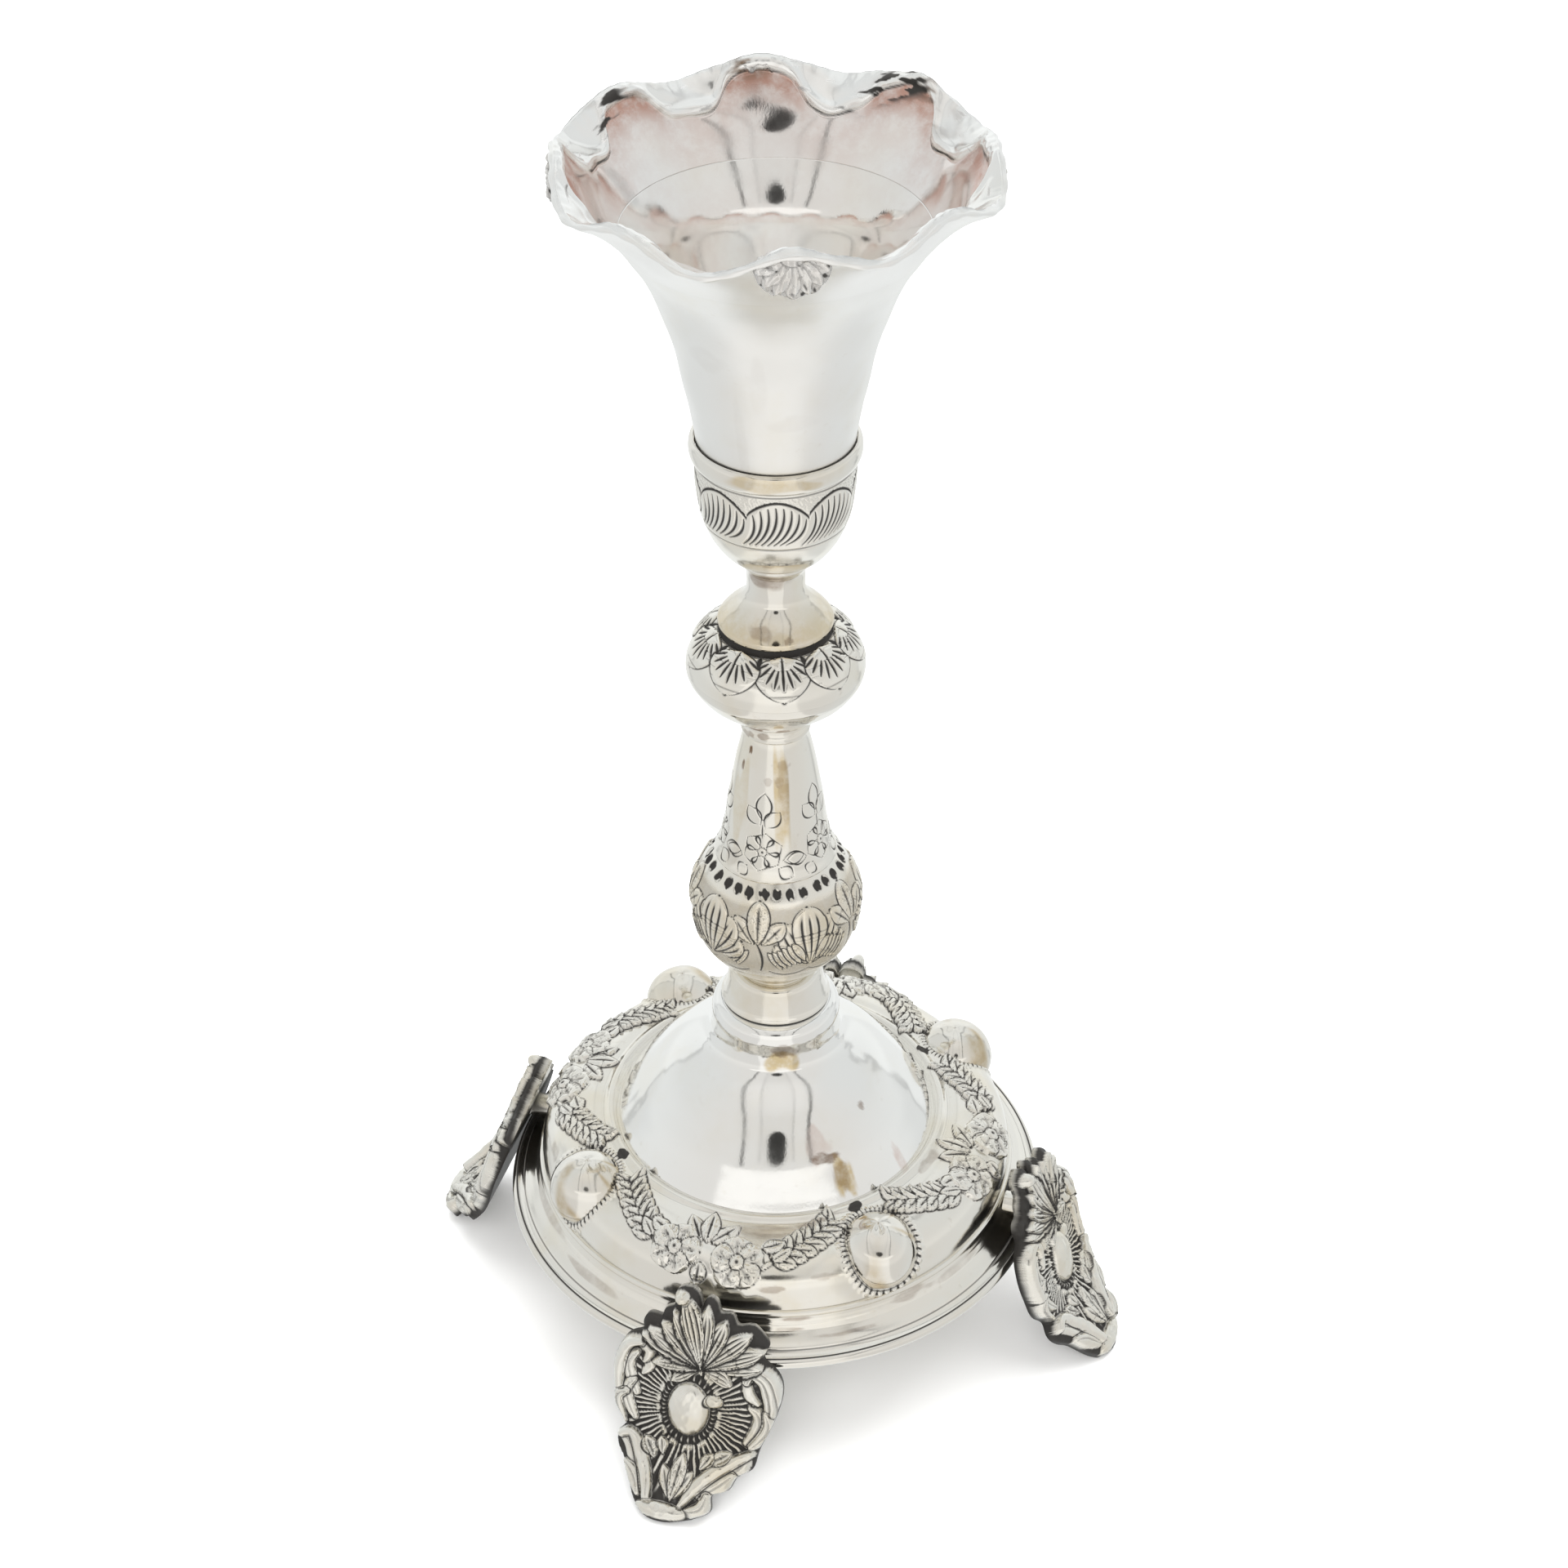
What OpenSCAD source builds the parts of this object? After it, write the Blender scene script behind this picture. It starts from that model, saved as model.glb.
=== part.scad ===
// Silver candlestick with a lift-out trumpet nozzle on a stacked, rod-clamped stand.
// Millimetres, +Z up. The origin is on the table, on the stand's axis, between the four feet.

/* [Nozzle] */
// Bore of the socket that grips the candle
socket_d = 20.5; // [19.0:0.1:21.0]
// Length of the socket's bore
socket_depth = 20; // [16:0.5:20.5]
// Thickness of the spun trumpet wall
trumpet_wall = 0.9; // [0.7:0.05:1.0]
// Number of lobes round the ruffled rim
rim_lobes = 8; // [6:1:10]
// How far a lobe rises above the rim's mean edge
rim_ripple = 1.7; // [0.4:0.1:2]
// Turn of the first lobe away from the front foot
rim_turn = 21; // [0:1:44]

/* [Stand] */
// Wall thickness of the spun knops, stem and base
wall = 1.0; // [0.8:0.05:1.1]
// Diameter of the threaded rod that clamps the stack
rod_d = 5; // [4:0.5:5]
// Width across the flats of the rod's nuts
nut_af = 8; // [7:0.5:9]

/* [Base] */
// Radius of the half-ball bosses on the shoulder
boss_r = 8.2; // [6.5:0.1:8.5]
// Distance of each boss from the axis
boss_at = 44.9; // [43.5:0.1:45.5]
// Thickness of the round wire under the skirt
rim_wire_d = 2.4; // [1.8:0.1:2.6]

/* [Feet] */
// Half of a foot's greatest width
foot_half_w = 17.4; // [14:0.1:18]
// Thickness of the cast foot at its middle
foot_t = 3.2; // [2.4:0.1:3.4]

/* [Hidden] */

FRONT = -90;              // azimuth of foot 1
QUARTER = 90;             // angle from one foot to the next
SPUN_FN = 96;

polished = [0.86, 0.86, 0.84];
warm = [0.82, 0.80, 0.74];
oxidised = [0.55, 0.54, 0.52];
steel = [0.62, 0.63, 0.65];
brass = [0.78, 0.66, 0.40];

rod_r = rod_d / 2;
bore_r = rod_r + 0.1;     // clearance hole for the rod

// Heights at which the stacked pieces meet
socket_low = 196.2;
seat_z = 212;
seat_gap = 0.05;          // so that the nozzle is free to lift
trumpet_top = 258.2;
trumpet_top_r = 28.7;
cup_low = 189.8;
cup_floor = 191.2;
neck_low = 174.5;
knop_mid = 165;
knop_low = 155.5;
collar_low = 149.3;
stem_low = 119.1;
bulb_mid = 107.6;
bulb_low = 89.9;
bead_low = 88.7;
spool_low = 80.6;
dome_low = 49.2;
shoulder_low = 37.4;
skirt_low = 29.8;
rod_low = 70;
washer_r = 10;
OPEN = 99;                // marks the open end of a spun shell
socket_wall = 0.9;
socket_out = socket_d / 2 + socket_wall;

// Profiles are [radius, height], listed from the top down. The rows between
// a piece's flat ends are rounded by smooth().
trumpet_curve = [
    [trumpet_top_r, trumpet_top], [27.3, 256], [25.3, 253], [23.7, 250], [22.4, 247],
    [21, 243], [19.3, 238], [18.1, 233], [17.2, 228], [16.3, 224], [15.6, 220],
    [15.1, 217], [14.9, 214.6]
];
cup_curve = [
    [15.25, seat_z], [15.3, 208.4], [14.95, 203.9], [14.3, 200.3], [13.1, 196.8],
    [12.2, 194.9], [11.1, 193.2], [9.4, 191.2], [6.8, cup_low]
];
cup_inside = [
    [13.6, seat_z], [13.6, 210.8], [14.3, 209.6], [14.4, 208.4], [14.1, 203.9],
    [13.5, 200.5], [12.5, 197.4], [11.8, 195.6], [11.2, 194.3], [10.3, 192.8],
    [9, 191.6], [8, cup_floor]
];
neck_curve = [
    [6.8, cup_low], [7, 189.2], [6.7, 188.5], [6, 187.6], [5.7, 185.5], [5.65, 183.6],
    [5.95, 181.8], [7, 180.1], [9.1, 178.2], [10.8, 176.3], [11.3, 175.2],
    [11.1, 174.7], [10.5, neck_low]
];
knop_top_curve = [
    [10.3, neck_low], [10.6, 173.7], [11.7, 173.2], [14.1, 171.7], [15.8, 169.8],
    [16.9, 167.8], [17.5, 166], [17.6, knop_mid]
];
knop_bottom_curve = [
    [17.6, knop_mid], [17.35, 163.3], [16.6, 161.8], [15.1, 159.7], [12.8, 157.6],
    [10.8, 156.1], [8.6, knop_low]
];
collar_curve = [
    [8.6, knop_low], [8.95, 154.9], [8.9, 154.2], [8.3, 153.8], [7, 153.3],
    [6.3, 152.3], [6.45, 151.4], [6.9, 150.6], [6.9, 149.9], [6.4, collar_low]
];
stem_curve = [
    [6.2, collar_low], [6.5, 148.6], [6.95, 147], [7.8, 143.2], [8.85, 137.2],
    [9.85, 131], [10.4, 126.9], [11.1, 123.6], [11.7, 121.4], [12.3, 120.2],
    [12.45, 119.6], [12.2, stem_low]
];
bulb_top_curve = [
    [11.9, stem_low], [12.6, 118.3], [13.8, 116.9], [15.3, 114.5], [16.4, 112],
    [17.1, 109.8], [17.35, bulb_mid]
];
bulb_bottom_curve = [
    [17.35, bulb_mid], [17.2, 104.5], [16.4, 100.5], [15.4, 98], [14, 96],
    [12, 93.5], [9.9, 91.4], [7.6, 90.1], [5.2, bulb_low]
];
spool_curve = [
    [7.5, bead_low], [9.1, 88.3], [9.75, 87.2], [10.1, 85.5], [10.55, 83.6],
    [11.1, 82.1], [11.4, 81.5], [11.2, 81.1], [10.6, spool_low]
];
dome_curve = [
    [10.6, spool_low], [12, 80.2], [13, 79.2], [13.45, 77.8], [13.45, 76.2],
    [13.4, 74.2], [13.7, 72.2], [14.5, 70.6], [15.8, 69.3], [17.8, 67.9], [20, 66.4],
    [22.4, 64.5], [24.6, 62.3], [26.8, 59.7], [29, 56.9], [31, 54], [32.8, 51.4],
    [34.3, dome_low]
];
shoulder_curve = [
    [34.4, dome_low], [35, 49.9], [35.9, 50], [36.7, 49.4], [38.5, 49.1], [41, 48.7],
    [44, 47.9], [46.8, 46.6], [48.9, 44.6], [50.1, 42.2], [50.6, 39.8],
    [50.7, shoulder_low]
];
skirt_curve = [
    [51.3, shoulder_low], [51.4, 36.7], [51, 36], [51.3, 35], [52, 33.8], [53, 32.6],
    [54.2, 31.6], [55, 31], [55.3, 30.4], [56.5, skirt_low]
];

// A foot: [distance from the axis, height, half width, crown] down its middle line
foot_line = [
    [54.4, 44, 1.6, 0.5], [55.6, 40.6, 5, 0.7], [57.1, 36.6, 12.4, 0.8],
    [58.6, 32.2, 16, 0.9], [60.1, 28.4, 17.4, 1], [61.3, 24.6, 17.3, 1],
    [62.5, 21, 16.9, 1], [63.7, 17.4, 15.6, 1], [65.6, 13.8, 13.9, 0.9],
    [68.6, 10, 14.1, 0.8], [72, 6.4, 12.4, 0.8], [74.6, 3.4, 9.2, 0.8],
    [76.6, 1.4, 7.4, 0.8], [78.2, 0.4, 4.6, 0.7]
];
foot_ring = 12;           // points round a foot's section
lug_r = 2.6;
lug_z = 34;
lug_from = 51.5;
lug_to = 57.2;

// ---- Curves ----

function spline(a, b, c, d, t) = 0.5 * (2 * b + (c - a) * t
    + (2 * a - 5 * b + 4 * c - d) * t * t + (3 * b - a - 3 * c + d) * t * t * t);

function smooth(p, steps = 3) = concat(
    [for (i = [0:len(p) - 2], j = [0:steps - 1])
        spline(p[max(i - 1, 0)], p[i], p[i + 1], p[min(i + 2, len(p) - 1)], j / steps)],
    [p[len(p) - 1]]);

function reversed(p) = [for (i = [len(p) - 1:-1:0]) p[i]];

function unit(v) = v / norm(v);

function run_at(p, i) = unit(p[min(i + 1, len(p) - 1)] - p[max(i - 1, 0)]);

// The same curve moved by t towards the hollow side
function inset(p, t) = [for (i = [0:len(p) - 1])
    let (d = run_at(p, i)) p[i] + t * [d[1], -d[0]]];

// ---- Generic bodies ----

// A thin spun shell; each end is a flat ring in to the given radius, or OPEN
module spun_shell(curve, t, z_top, z_bottom, top_r, bottom_r) {
    outer = smooth(curve);
    inner = [for (q = inset(outer, t)) if (q[1] < z_top - t && q[1] > z_bottom + t) q];
    closed_top = top_r < curve[0][0] - 2 * t;
    last = curve[len(curve) - 1];
    closed_bottom = bottom_r < last[0] - 2 * t;
    rotate_extrude($fn = SPUN_FN) polygon(concat(
        closed_top ? [[top_r, z_top]] : [],
        outer,
        closed_bottom
            ? [[bottom_r, z_bottom], [bottom_r, z_bottom + t], [last[0] - t, z_bottom + t]]
            : [[last[0] - t, z_bottom]],
        reversed(inner),
        closed_top
            ? [[curve[0][0] - t, z_top - t], [top_r, z_top - t]]
            : [[curve[0][0] - t, z_top]]));
}

// A turned solid with a clearance hole for the rod
module turned(curve) {
    low = curve[len(curve) - 1];
    rotate_extrude($fn = SPUN_FN) polygon(concat(
        [[bore_r, curve[0][1]]], smooth(curve), [[bore_r, low[1]]]));
}

module tube(r_in, r_out, z0, z1) {
    translate([0, 0, z0]) difference() {
        cylinder(r = r_out, h = z1 - z0, $fn = SPUN_FN);
        translate([0, 0, -1]) cylinder(r = r_in, h = z1 - z0 + 2, $fn = SPUN_FN);
    }
}

module hex_nut(z0, z1) {
    translate([0, 0, z0]) difference() {
        cylinder(d = nut_af / cos(30), h = z1 - z0, $fn = 6);
        translate([0, 0, -1]) cylinder(r = rod_r, h = z1 - z0 + 2, $fn = 48);
    }
}

// ---- Lift-out nozzle ----

module nozzle_trumpet() {
    outer = smooth(trumpet_curve, 2);
    inner = [for (q = inset(outer, trumpet_wall))
        if (q[1] < trumpet_top && q[1] > seat_z + seat_gap + trumpet_wall) q];
    floor_z = seat_z + seat_gap;
    color(polished) rotate_extrude($fn = SPUN_FN) polygon(concat(
        outer,
        [[14.9, floor_z + 0.5], [14.6, floor_z], [socket_out, floor_z],
         [socket_out, floor_z + trumpet_wall], [14, floor_z + trumpet_wall]],
        reversed(inner),
        [[trumpet_top_r - 1.1, trumpet_top]]));
}

// One section of the ruffled rim, where w runs from -1 in a hollow to 1 on a lobe
function rim_section(w) = let (up = rim_ripple * w, out = -0.4 * up) [
    [trumpet_top_r, trumpet_top], [31.4, 261.8], [34.4 + 0.3 * out, 265.5 + 0.2 * up],
    [37.2 + 0.6 * out, 268.2 + 0.6 * up], [39.1 + 0.9 * out, 269.8 + 0.9 * up],
    [40 + out, 270.8 + up], [39.5 + out, 271.7 + up], [38.2 + 0.9 * out, 271.2 + 0.9 * up],
    [36 + 0.6 * out, 269.6 + 0.6 * up], [33.1 + 0.3 * out, 266.8 + 0.2 * up],
    [30.2, 262.8], [trumpet_top_r - 1.1, trumpet_top]
];

module nozzle_rim() {
    around = rim_lobes * 12;
    m = len(rim_section(0));
    points = [for (i = [0:around - 1]) let (a = i * 360 / around)
        for (q = rim_section(cos(rim_lobes * (a - FRONT - rim_turn))))
            [q[0] * cos(a), q[0] * sin(a), q[1]]];
    faces = [for (i = [0:around - 1], j = [0:m - 1])
        let (n = (i + 1) % around, k = (j + 1) % m)
        for (f = [[i * m + j, i * m + k, n * m + k], [i * m + j, n * m + k, n * m + j]]) f];
    color(polished) polyhedron(points, faces, convexity = 6);
}

module candle_socket() {
    color(warm) tube(socket_d / 2, socket_out, socket_low, socket_low + socket_depth);
}

module socket_floor() {
    color(warm) translate([0, 0, socket_low - 1]) cylinder(r = socket_out, h = 1, $fn = SPUN_FN);
}

// ---- Stand, from the top down ----

module cup_lip() {
    swell = [for (a = [90:-15:-90]) [15.4 + 0.95 * cos(a), seat_z + 2.05 + 2.05 * sin(a)]];
    color(polished) rotate_extrude($fn = SPUN_FN) polygon(concat([[15.3, seat_z + 4.1]], swell,
        [[15.3, seat_z]]));
}

module candle_cup() {
    color(warm) rotate_extrude($fn = SPUN_FN) polygon(concat(
        smooth(cup_curve), [[bore_r, cup_low], [bore_r, cup_floor]], reversed(cup_inside)));
}

module top_nut() {
    color(brass) hex_nut(cup_floor, cup_floor + 3.4);
}

module neck() {
    color(polished) turned(neck_curve);
}

module leaf_knop_top() {
    color(warm) spun_shell(knop_top_curve, wall, neck_low, knop_mid, bore_r, OPEN);
}

module leaf_knop_bottom() {
    color(polished) spun_shell(knop_bottom_curve, wall, knop_mid, knop_low, OPEN, bore_r);
}

module knop_collar() {
    color(polished) turned(collar_curve);
}

module stem() {
    color(warm) spun_shell(stem_curve, wall, collar_low, stem_low, bore_r, OPEN);
}

module bulb_top() {
    color(warm) spun_shell(bulb_top_curve, wall, stem_low, bulb_mid, bore_r, OPEN);
}

module bulb_bottom() {
    color(warm) spun_shell(bulb_bottom_curve, wall, bulb_mid, bulb_low, OPEN, bore_r);
}

module bulb_bead() {
    color(polished) tube(bore_r, 5, bead_low, bulb_low);
}

module base_spool() {
    color(polished) spun_shell(spool_curve, wall, bead_low, spool_low, bore_r, OPEN);
}

module base_dome() {
    color(polished) spun_shell(dome_curve, wall, spool_low, dome_low, bore_r, OPEN);
}

module base_shoulder() {
    outer = smooth(shoulder_curve);
    inner = [for (q = inset(outer, wall)) if (q[1] > shoulder_low && q[0] > 36) q];
    color(warm) rotate_extrude($fn = SPUN_FN) polygon(concat(
        [[32.6, dome_low]], outer, [[50.7 - wall, shoulder_low]],
        reversed(inner), [[34, dome_low - wall], [32.6, dome_low - wall]]));
}

module base_skirt() {
    outer = smooth(skirt_curve);
    color(warm) rotate_extrude($fn = SPUN_FN) polygon(concat(
        [[49.6, shoulder_low]], outer,
        [[54, skirt_low], [53, 31], [51.6, 32.4], [50.6, 33.8], [50, 35], [49.6, 36]]));
}

module rim_wire() {
    color(polished) rotate_extrude($fn = SPUN_FN)
        translate([56.5, skirt_low - rim_wire_d / 2]) circle(d = rim_wire_d, $fn = 32);
}

// Everything under the shoulder's outer surface
module shoulder_fill() {
    rotate_extrude($fn = SPUN_FN) polygon(concat(
        [[0, dome_low]], smooth(shoulder_curve), [[50.7, 30], [0, 30]]));
}

module boss(i) {
    a = FRONT + (i - 0.5) * QUARTER;
    color(polished) difference() {
        translate([boss_at * cos(a), boss_at * sin(a), 44]) sphere(r = boss_r, $fn = 64);
        shoulder_fill();
    }
}

// ---- Cast feet ----

function foot_dir(i) = let (
    p = foot_line[max(i - 1, 0)], q = foot_line[min(i + 1, len(foot_line) - 1)])
    unit([q[0] - p[0], q[1] - p[1]]);

// Section i of a foot, an oval whose outward half is the crown
function foot_section(i) = let (
    s = foot_line[i], d = foot_dir(i), half_t = foot_t / 2 * s[3],
    half_w = s[2] * foot_half_w / 17.4)
    [for (j = [0:foot_ring - 1]) let (
        a = j * 360 / foot_ring,
        out = half_t * sin(a),
        side = half_w * cos(a))
        [s[0] - d[1] * out, side, s[1] + d[0] * out]];

module foot_cast() {
    n = len(foot_line);
    points = [for (i = [0:n - 1]) for (q = foot_section(i)) q];
    sides = [for (i = [0:n - 2], j = [0:foot_ring - 1])
        let (k = (j + 1) % foot_ring, a = i * foot_ring, b = a + foot_ring)
        for (f = [[a + j, b + j, b + k], [a + j, b + k, a + k]]) f];
    top = [[for (j = [0:foot_ring - 1]) j]];
    tip = [[for (j = [foot_ring - 1:-1:0]) (n - 1) * foot_ring + j]];
    polyhedron(points, concat(sides, top, tip), convexity = 4);
}

// The cast foot with its worn flat sole at table height
module foot(i) {
    color(oxidised) rotate([0, 0, FRONT + (i - 1) * QUARTER]) intersection() {
        foot_cast();
        translate([40, -30, 0]) cube([50, 60, 60]);
    }
}

module foot_lug(i) {
    color(warm) rotate([0, 0, FRONT + (i - 1) * QUARTER]) translate([lug_from, 0, lug_z])
        rotate([0, 90, 0]) cylinder(r = lug_r, h = lug_to - lug_from, $fn = 32);
}

// ---- Clamping rod ----

module tie_rod() {
    color(steel) translate([0, 0, rod_low])
        cylinder(r = rod_r, h = socket_low - 1.3 - rod_low, $fn = 48);
}

module spreader_washer() {
    color(steel) tube(bore_r, washer_r, spool_low - wall - 1.6, spool_low - wall);
}

module bottom_nut() {
    color(brass) hex_nut(spool_low - wall - 5.6, spool_low - wall - 1.6);
}

nozzle_trumpet();
nozzle_rim();
candle_socket();
socket_floor();
cup_lip();
candle_cup();
top_nut();
neck();
leaf_knop_top();
leaf_knop_bottom();
knop_collar();
stem();
bulb_top();
bulb_bottom();
bulb_bead();
base_spool();
base_dome();
base_shoulder();
base_skirt();
rim_wire();
boss(1);  // boss_1
boss(2);  // boss_2
boss(3);  // boss_3
boss(4);  // boss_4
foot(1);  // foot_1
foot(2);  // foot_2
foot(3);  // foot_3
foot(4);  // foot_4
foot_lug(1);  // foot_lug_1
foot_lug(2);  // foot_lug_2
foot_lug(3);  // foot_lug_3
foot_lug(4);  // foot_lug_4
tie_rod();
spreader_washer();
bottom_nut();
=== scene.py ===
"""Looks of the silver candlestick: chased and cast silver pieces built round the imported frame.

Shapes are worked out in millimetres and degrees. Azimuth 0 is +X, the first foot is at -90, and heights
are above the table. Meshes are written in metres, in the frame's own axes.
"""

import math

import bpy
import numpy as np
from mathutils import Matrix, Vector


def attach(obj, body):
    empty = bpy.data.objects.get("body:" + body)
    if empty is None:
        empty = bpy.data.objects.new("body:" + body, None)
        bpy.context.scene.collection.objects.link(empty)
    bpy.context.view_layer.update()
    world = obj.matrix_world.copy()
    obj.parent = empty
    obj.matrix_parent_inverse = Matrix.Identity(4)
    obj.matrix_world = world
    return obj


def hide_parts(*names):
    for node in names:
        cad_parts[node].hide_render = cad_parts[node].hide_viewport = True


MM = 0.001
FEET = [-90, 0, 90, 180]
BOSSES = [-45, 45, 135, 225]

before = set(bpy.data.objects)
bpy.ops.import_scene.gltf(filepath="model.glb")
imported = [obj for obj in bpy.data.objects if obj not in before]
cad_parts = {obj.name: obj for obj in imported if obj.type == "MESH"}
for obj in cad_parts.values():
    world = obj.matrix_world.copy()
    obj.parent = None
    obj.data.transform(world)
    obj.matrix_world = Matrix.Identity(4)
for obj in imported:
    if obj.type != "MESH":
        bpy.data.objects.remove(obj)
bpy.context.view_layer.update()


# ---- Curves ----


def spline(points, step):
    """Evenly spaced points on the smooth curve through the design points."""
    p = np.array(points, float)
    h = np.hypot(*np.diff(p, axis=0).T)
    t = np.concatenate([[0], np.cumsum(h)])
    n = len(p)
    a, b = np.eye(n), np.zeros_like(p)
    for i in range(1, n - 1):
        a[i, i - 1 : i + 2] = h[i - 1], 2 * (h[i - 1] + h[i]), h[i]
        b[i] = 6 * ((p[i + 1] - p[i]) / h[i] - (p[i] - p[i - 1]) / h[i - 1])
    m = np.linalg.solve(a, b)
    q = np.linspace(0, t[-1], max(2, math.ceil(t[-1] / step) + 1))
    k = np.clip(np.searchsorted(t, q, side="right") - 1, 0, n - 2)
    w, past, left = h[k][:, None], (q - t[k])[:, None], (t[k + 1] - q)[:, None]
    cubic = (m[k] * left**3 + m[k + 1] * past**3) / (6 * w)
    return cubic + (p[k] / w - m[k] * w / 6) * left + (p[k + 1] / w - m[k + 1] * w / 6) * past


def run_length(curve):
    return np.concatenate([[0], np.cumsum(np.hypot(*np.diff(curve, axis=0).T))])


def outward(curve):
    """Unit normals on the left of a curve that runs down the outside of a turned piece."""
    d = np.gradient(curve, axis=0)
    d /= np.linalg.norm(d, axis=1)[:, None]
    return np.stack([-d[:, 1], d[:, 0]], axis=1)


def ease(low, high, x):
    """0 below low, 1 above high, smooth between; low may be the greater."""
    t = np.clip((x - low) / (high - low), 0, 1)
    return t * t * (3 - 2 * t)


def bump(x, width):
    return np.exp(-((x / width) ** 2))


def wander(azimuth, down, waves, seed):
    """Seamless low noise of about unit size; waves is the most ripples round the piece."""
    rng = np.random.default_rng(seed)
    total = np.zeros(np.broadcast(azimuth, down).shape)
    for _ in range(14):
        m = rng.integers(-waves, waves + 1)
        n = rng.uniform(-waves, waves) / 25
        total += np.cos(m * np.radians(azimuth) + n * down + rng.uniform(0, 2 * math.pi))
    return total / math.sqrt(7)


# ---- Relief: heights and stains over a surface of rows and columns ----

# Black in recesses plus painted shade behind the feet, brown spots plus painted shade at the trumpet's foot,
# pink cloud, soft gloss, and yellow-brown spots
LAYERS = ("patina_and_shade", "stain", "blush", "satin", "gilt")


class Relief:
    """Rows are at `down` mm along the surface. Columns are at `across`, each unit of which is `span` mm
    wide on its row, and `period` units is once round (0 for a surface that doesn't close)."""

    def __init__(self, down, across, span, period=0.0):
        self.down, self.across, self.period = down, across, period
        self.span = np.broadcast_to(span, down.shape)
        size = (len(down), len(across))
        for layer in ("height",) + LAYERS:
            setattr(self, layer, np.zeros(size))

    def near(self, place, reach, turn=0.0):
        """Rows and columns near a place, and how far each is to the right of the line that leaves the
        place at `turn` degrees clockwise from up, and along it."""
        across, down = place
        rows = np.flatnonzero(np.abs(self.down - down) <= reach)
        gap = self.across - across
        if self.period:
            gap = (gap + self.period / 2) % self.period - self.period / 2
        wide = self.span[rows].max() if len(rows) else 1.0
        cols = np.flatnonzero(np.abs(gap) * wide <= reach)
        u = gap[cols] * self.span[rows][:, None]
        v = (down - self.down[rows])[:, None] + 0 * u
        c, s = math.cos(math.radians(turn)), math.sin(math.radians(turn))
        return np.ix_(rows, cols), u * c - v * s, u * s + v * c

    def lay(self, place, turn, reach, shape, edge=1.0, soft=0.45):
        """Puts a raised shape on the surface, with dark metal left round its edge."""
        at, x, y = self.near(place, reach, turn)
        if x.size == 0:
            return
        d, h, p = shape(x, y)
        cover = ease(0.1, -0.1, d)
        rim = edge * bump(np.maximum(d, 0), soft)
        self.height[at] = self.height[at] * (1 - cover) + h * cover
        self.patina_and_shade[at] = np.maximum(self.patina_and_shade[at], rim) * (1 - cover) + p * cover

    def cut(self, place, turn, length, width, depth, bend=0.0, dark=0.95):
        """Engraves one tapered stroke that leaves the place at `turn` and bows by `bend`."""
        at, x, y = self.near(place, length + abs(bend) + 3 * width, turn)
        t = np.clip(y / length, 0, 1)
        d = np.hypot(x - bend * 4 * t * (1 - t), y - t * length)
        line = bump(d, width * (0.45 + 0.55 * np.sin(math.pi * t)))
        self.height[at] -= depth * line
        self.patina_and_shade[at] = np.maximum(self.patina_and_shade[at], dark * line)

    def ring(self, down, width, depth, dark=0.8):
        line = bump(self.down - down, width)[:, None]
        self.height -= depth * line
        self.patina_and_shade = np.maximum(self.patina_and_shade, dark * line)

    def blot(self, place, size, layer, strength, seed=1):
        """A ragged patch on one of the layers."""
        wide, tall = size
        at, x, y = self.near(place, 1.5 * max(size))
        if x.size == 0:
            return
        rough = wander(x * 40 / wide, y * 9 / tall, 9, seed) * 0.16
        spot = strength * ease(1.1, 0.75, np.hypot(x / wide, y / tall) + rough)
        field = getattr(self, layer)
        field[at] = np.maximum(field[at], spot)


def leaf(length, width, rise, belly=0.8, ribs=1, dark=0.75, point=0.75, bow=0.0):
    """A leaf with `ribs` grooves, widest near its foot if belly is under 1 and near its tip if over 1.
    A small `point` gives a round tip, and `bow` bends the leaf to the right."""

    def shape(x, y):
        t = np.clip(y / length, 0, 1)
        x = x - bow * t * t
        half = width / 2 * np.sin(math.pi * t**belly) ** point + 0.02
        past = np.abs(y - t * length)
        side = np.abs(x) - half
        d = np.where(past > 0, np.hypot(np.maximum(side, 0), past), side)
        q = np.clip(x / half, -1, 1)
        h = rise * (0.3 + 0.7 * np.sqrt(1 - q * q))
        p = 0.04 + 0.0 * x
        for k in range(ribs):
            centre = (k - (ribs - 1) / 2) * 2 / (ribs + 1)
            groove = bump(q - centre, 0.42 / (ribs + 1)) * ease(1.0, 0.75, t)
            h = h - 0.4 * rise * groove
            p = np.maximum(p, dark * groove)
        return d, h, p

    return shape


def oval(wide, tall, rise, dimple=0.0):
    def shape(x, y):
        q = np.hypot(x / wide, y / tall)
        h = rise * np.sqrt(np.clip(1 - q * q, 0, 1)) + 0.1 * rise
        h = h - dimple * bump(q, 0.45)
        return (q - 1) * min(wide, tall), h, 0.05 + (0.9 * bump(q, 0.4) if dimple else 0 * q)

    return shape


def flower(relief, place, radius, rise, petals=5, turn=0.0):
    for k in range(petals):
        angle = turn + k * 360 / petals
        petal = leaf(radius, radius * 1.04, rise, 1.7, dark=0.6, point=0.5)
        relief.lay(place, angle, radius + 1, petal, 1.0, 0.4)
    relief.lay(place, 0, radius, oval(0.25 * radius, 0.25 * radius, 1.25 * rise, 0.5 * rise), 1.0, 0.4)


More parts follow.
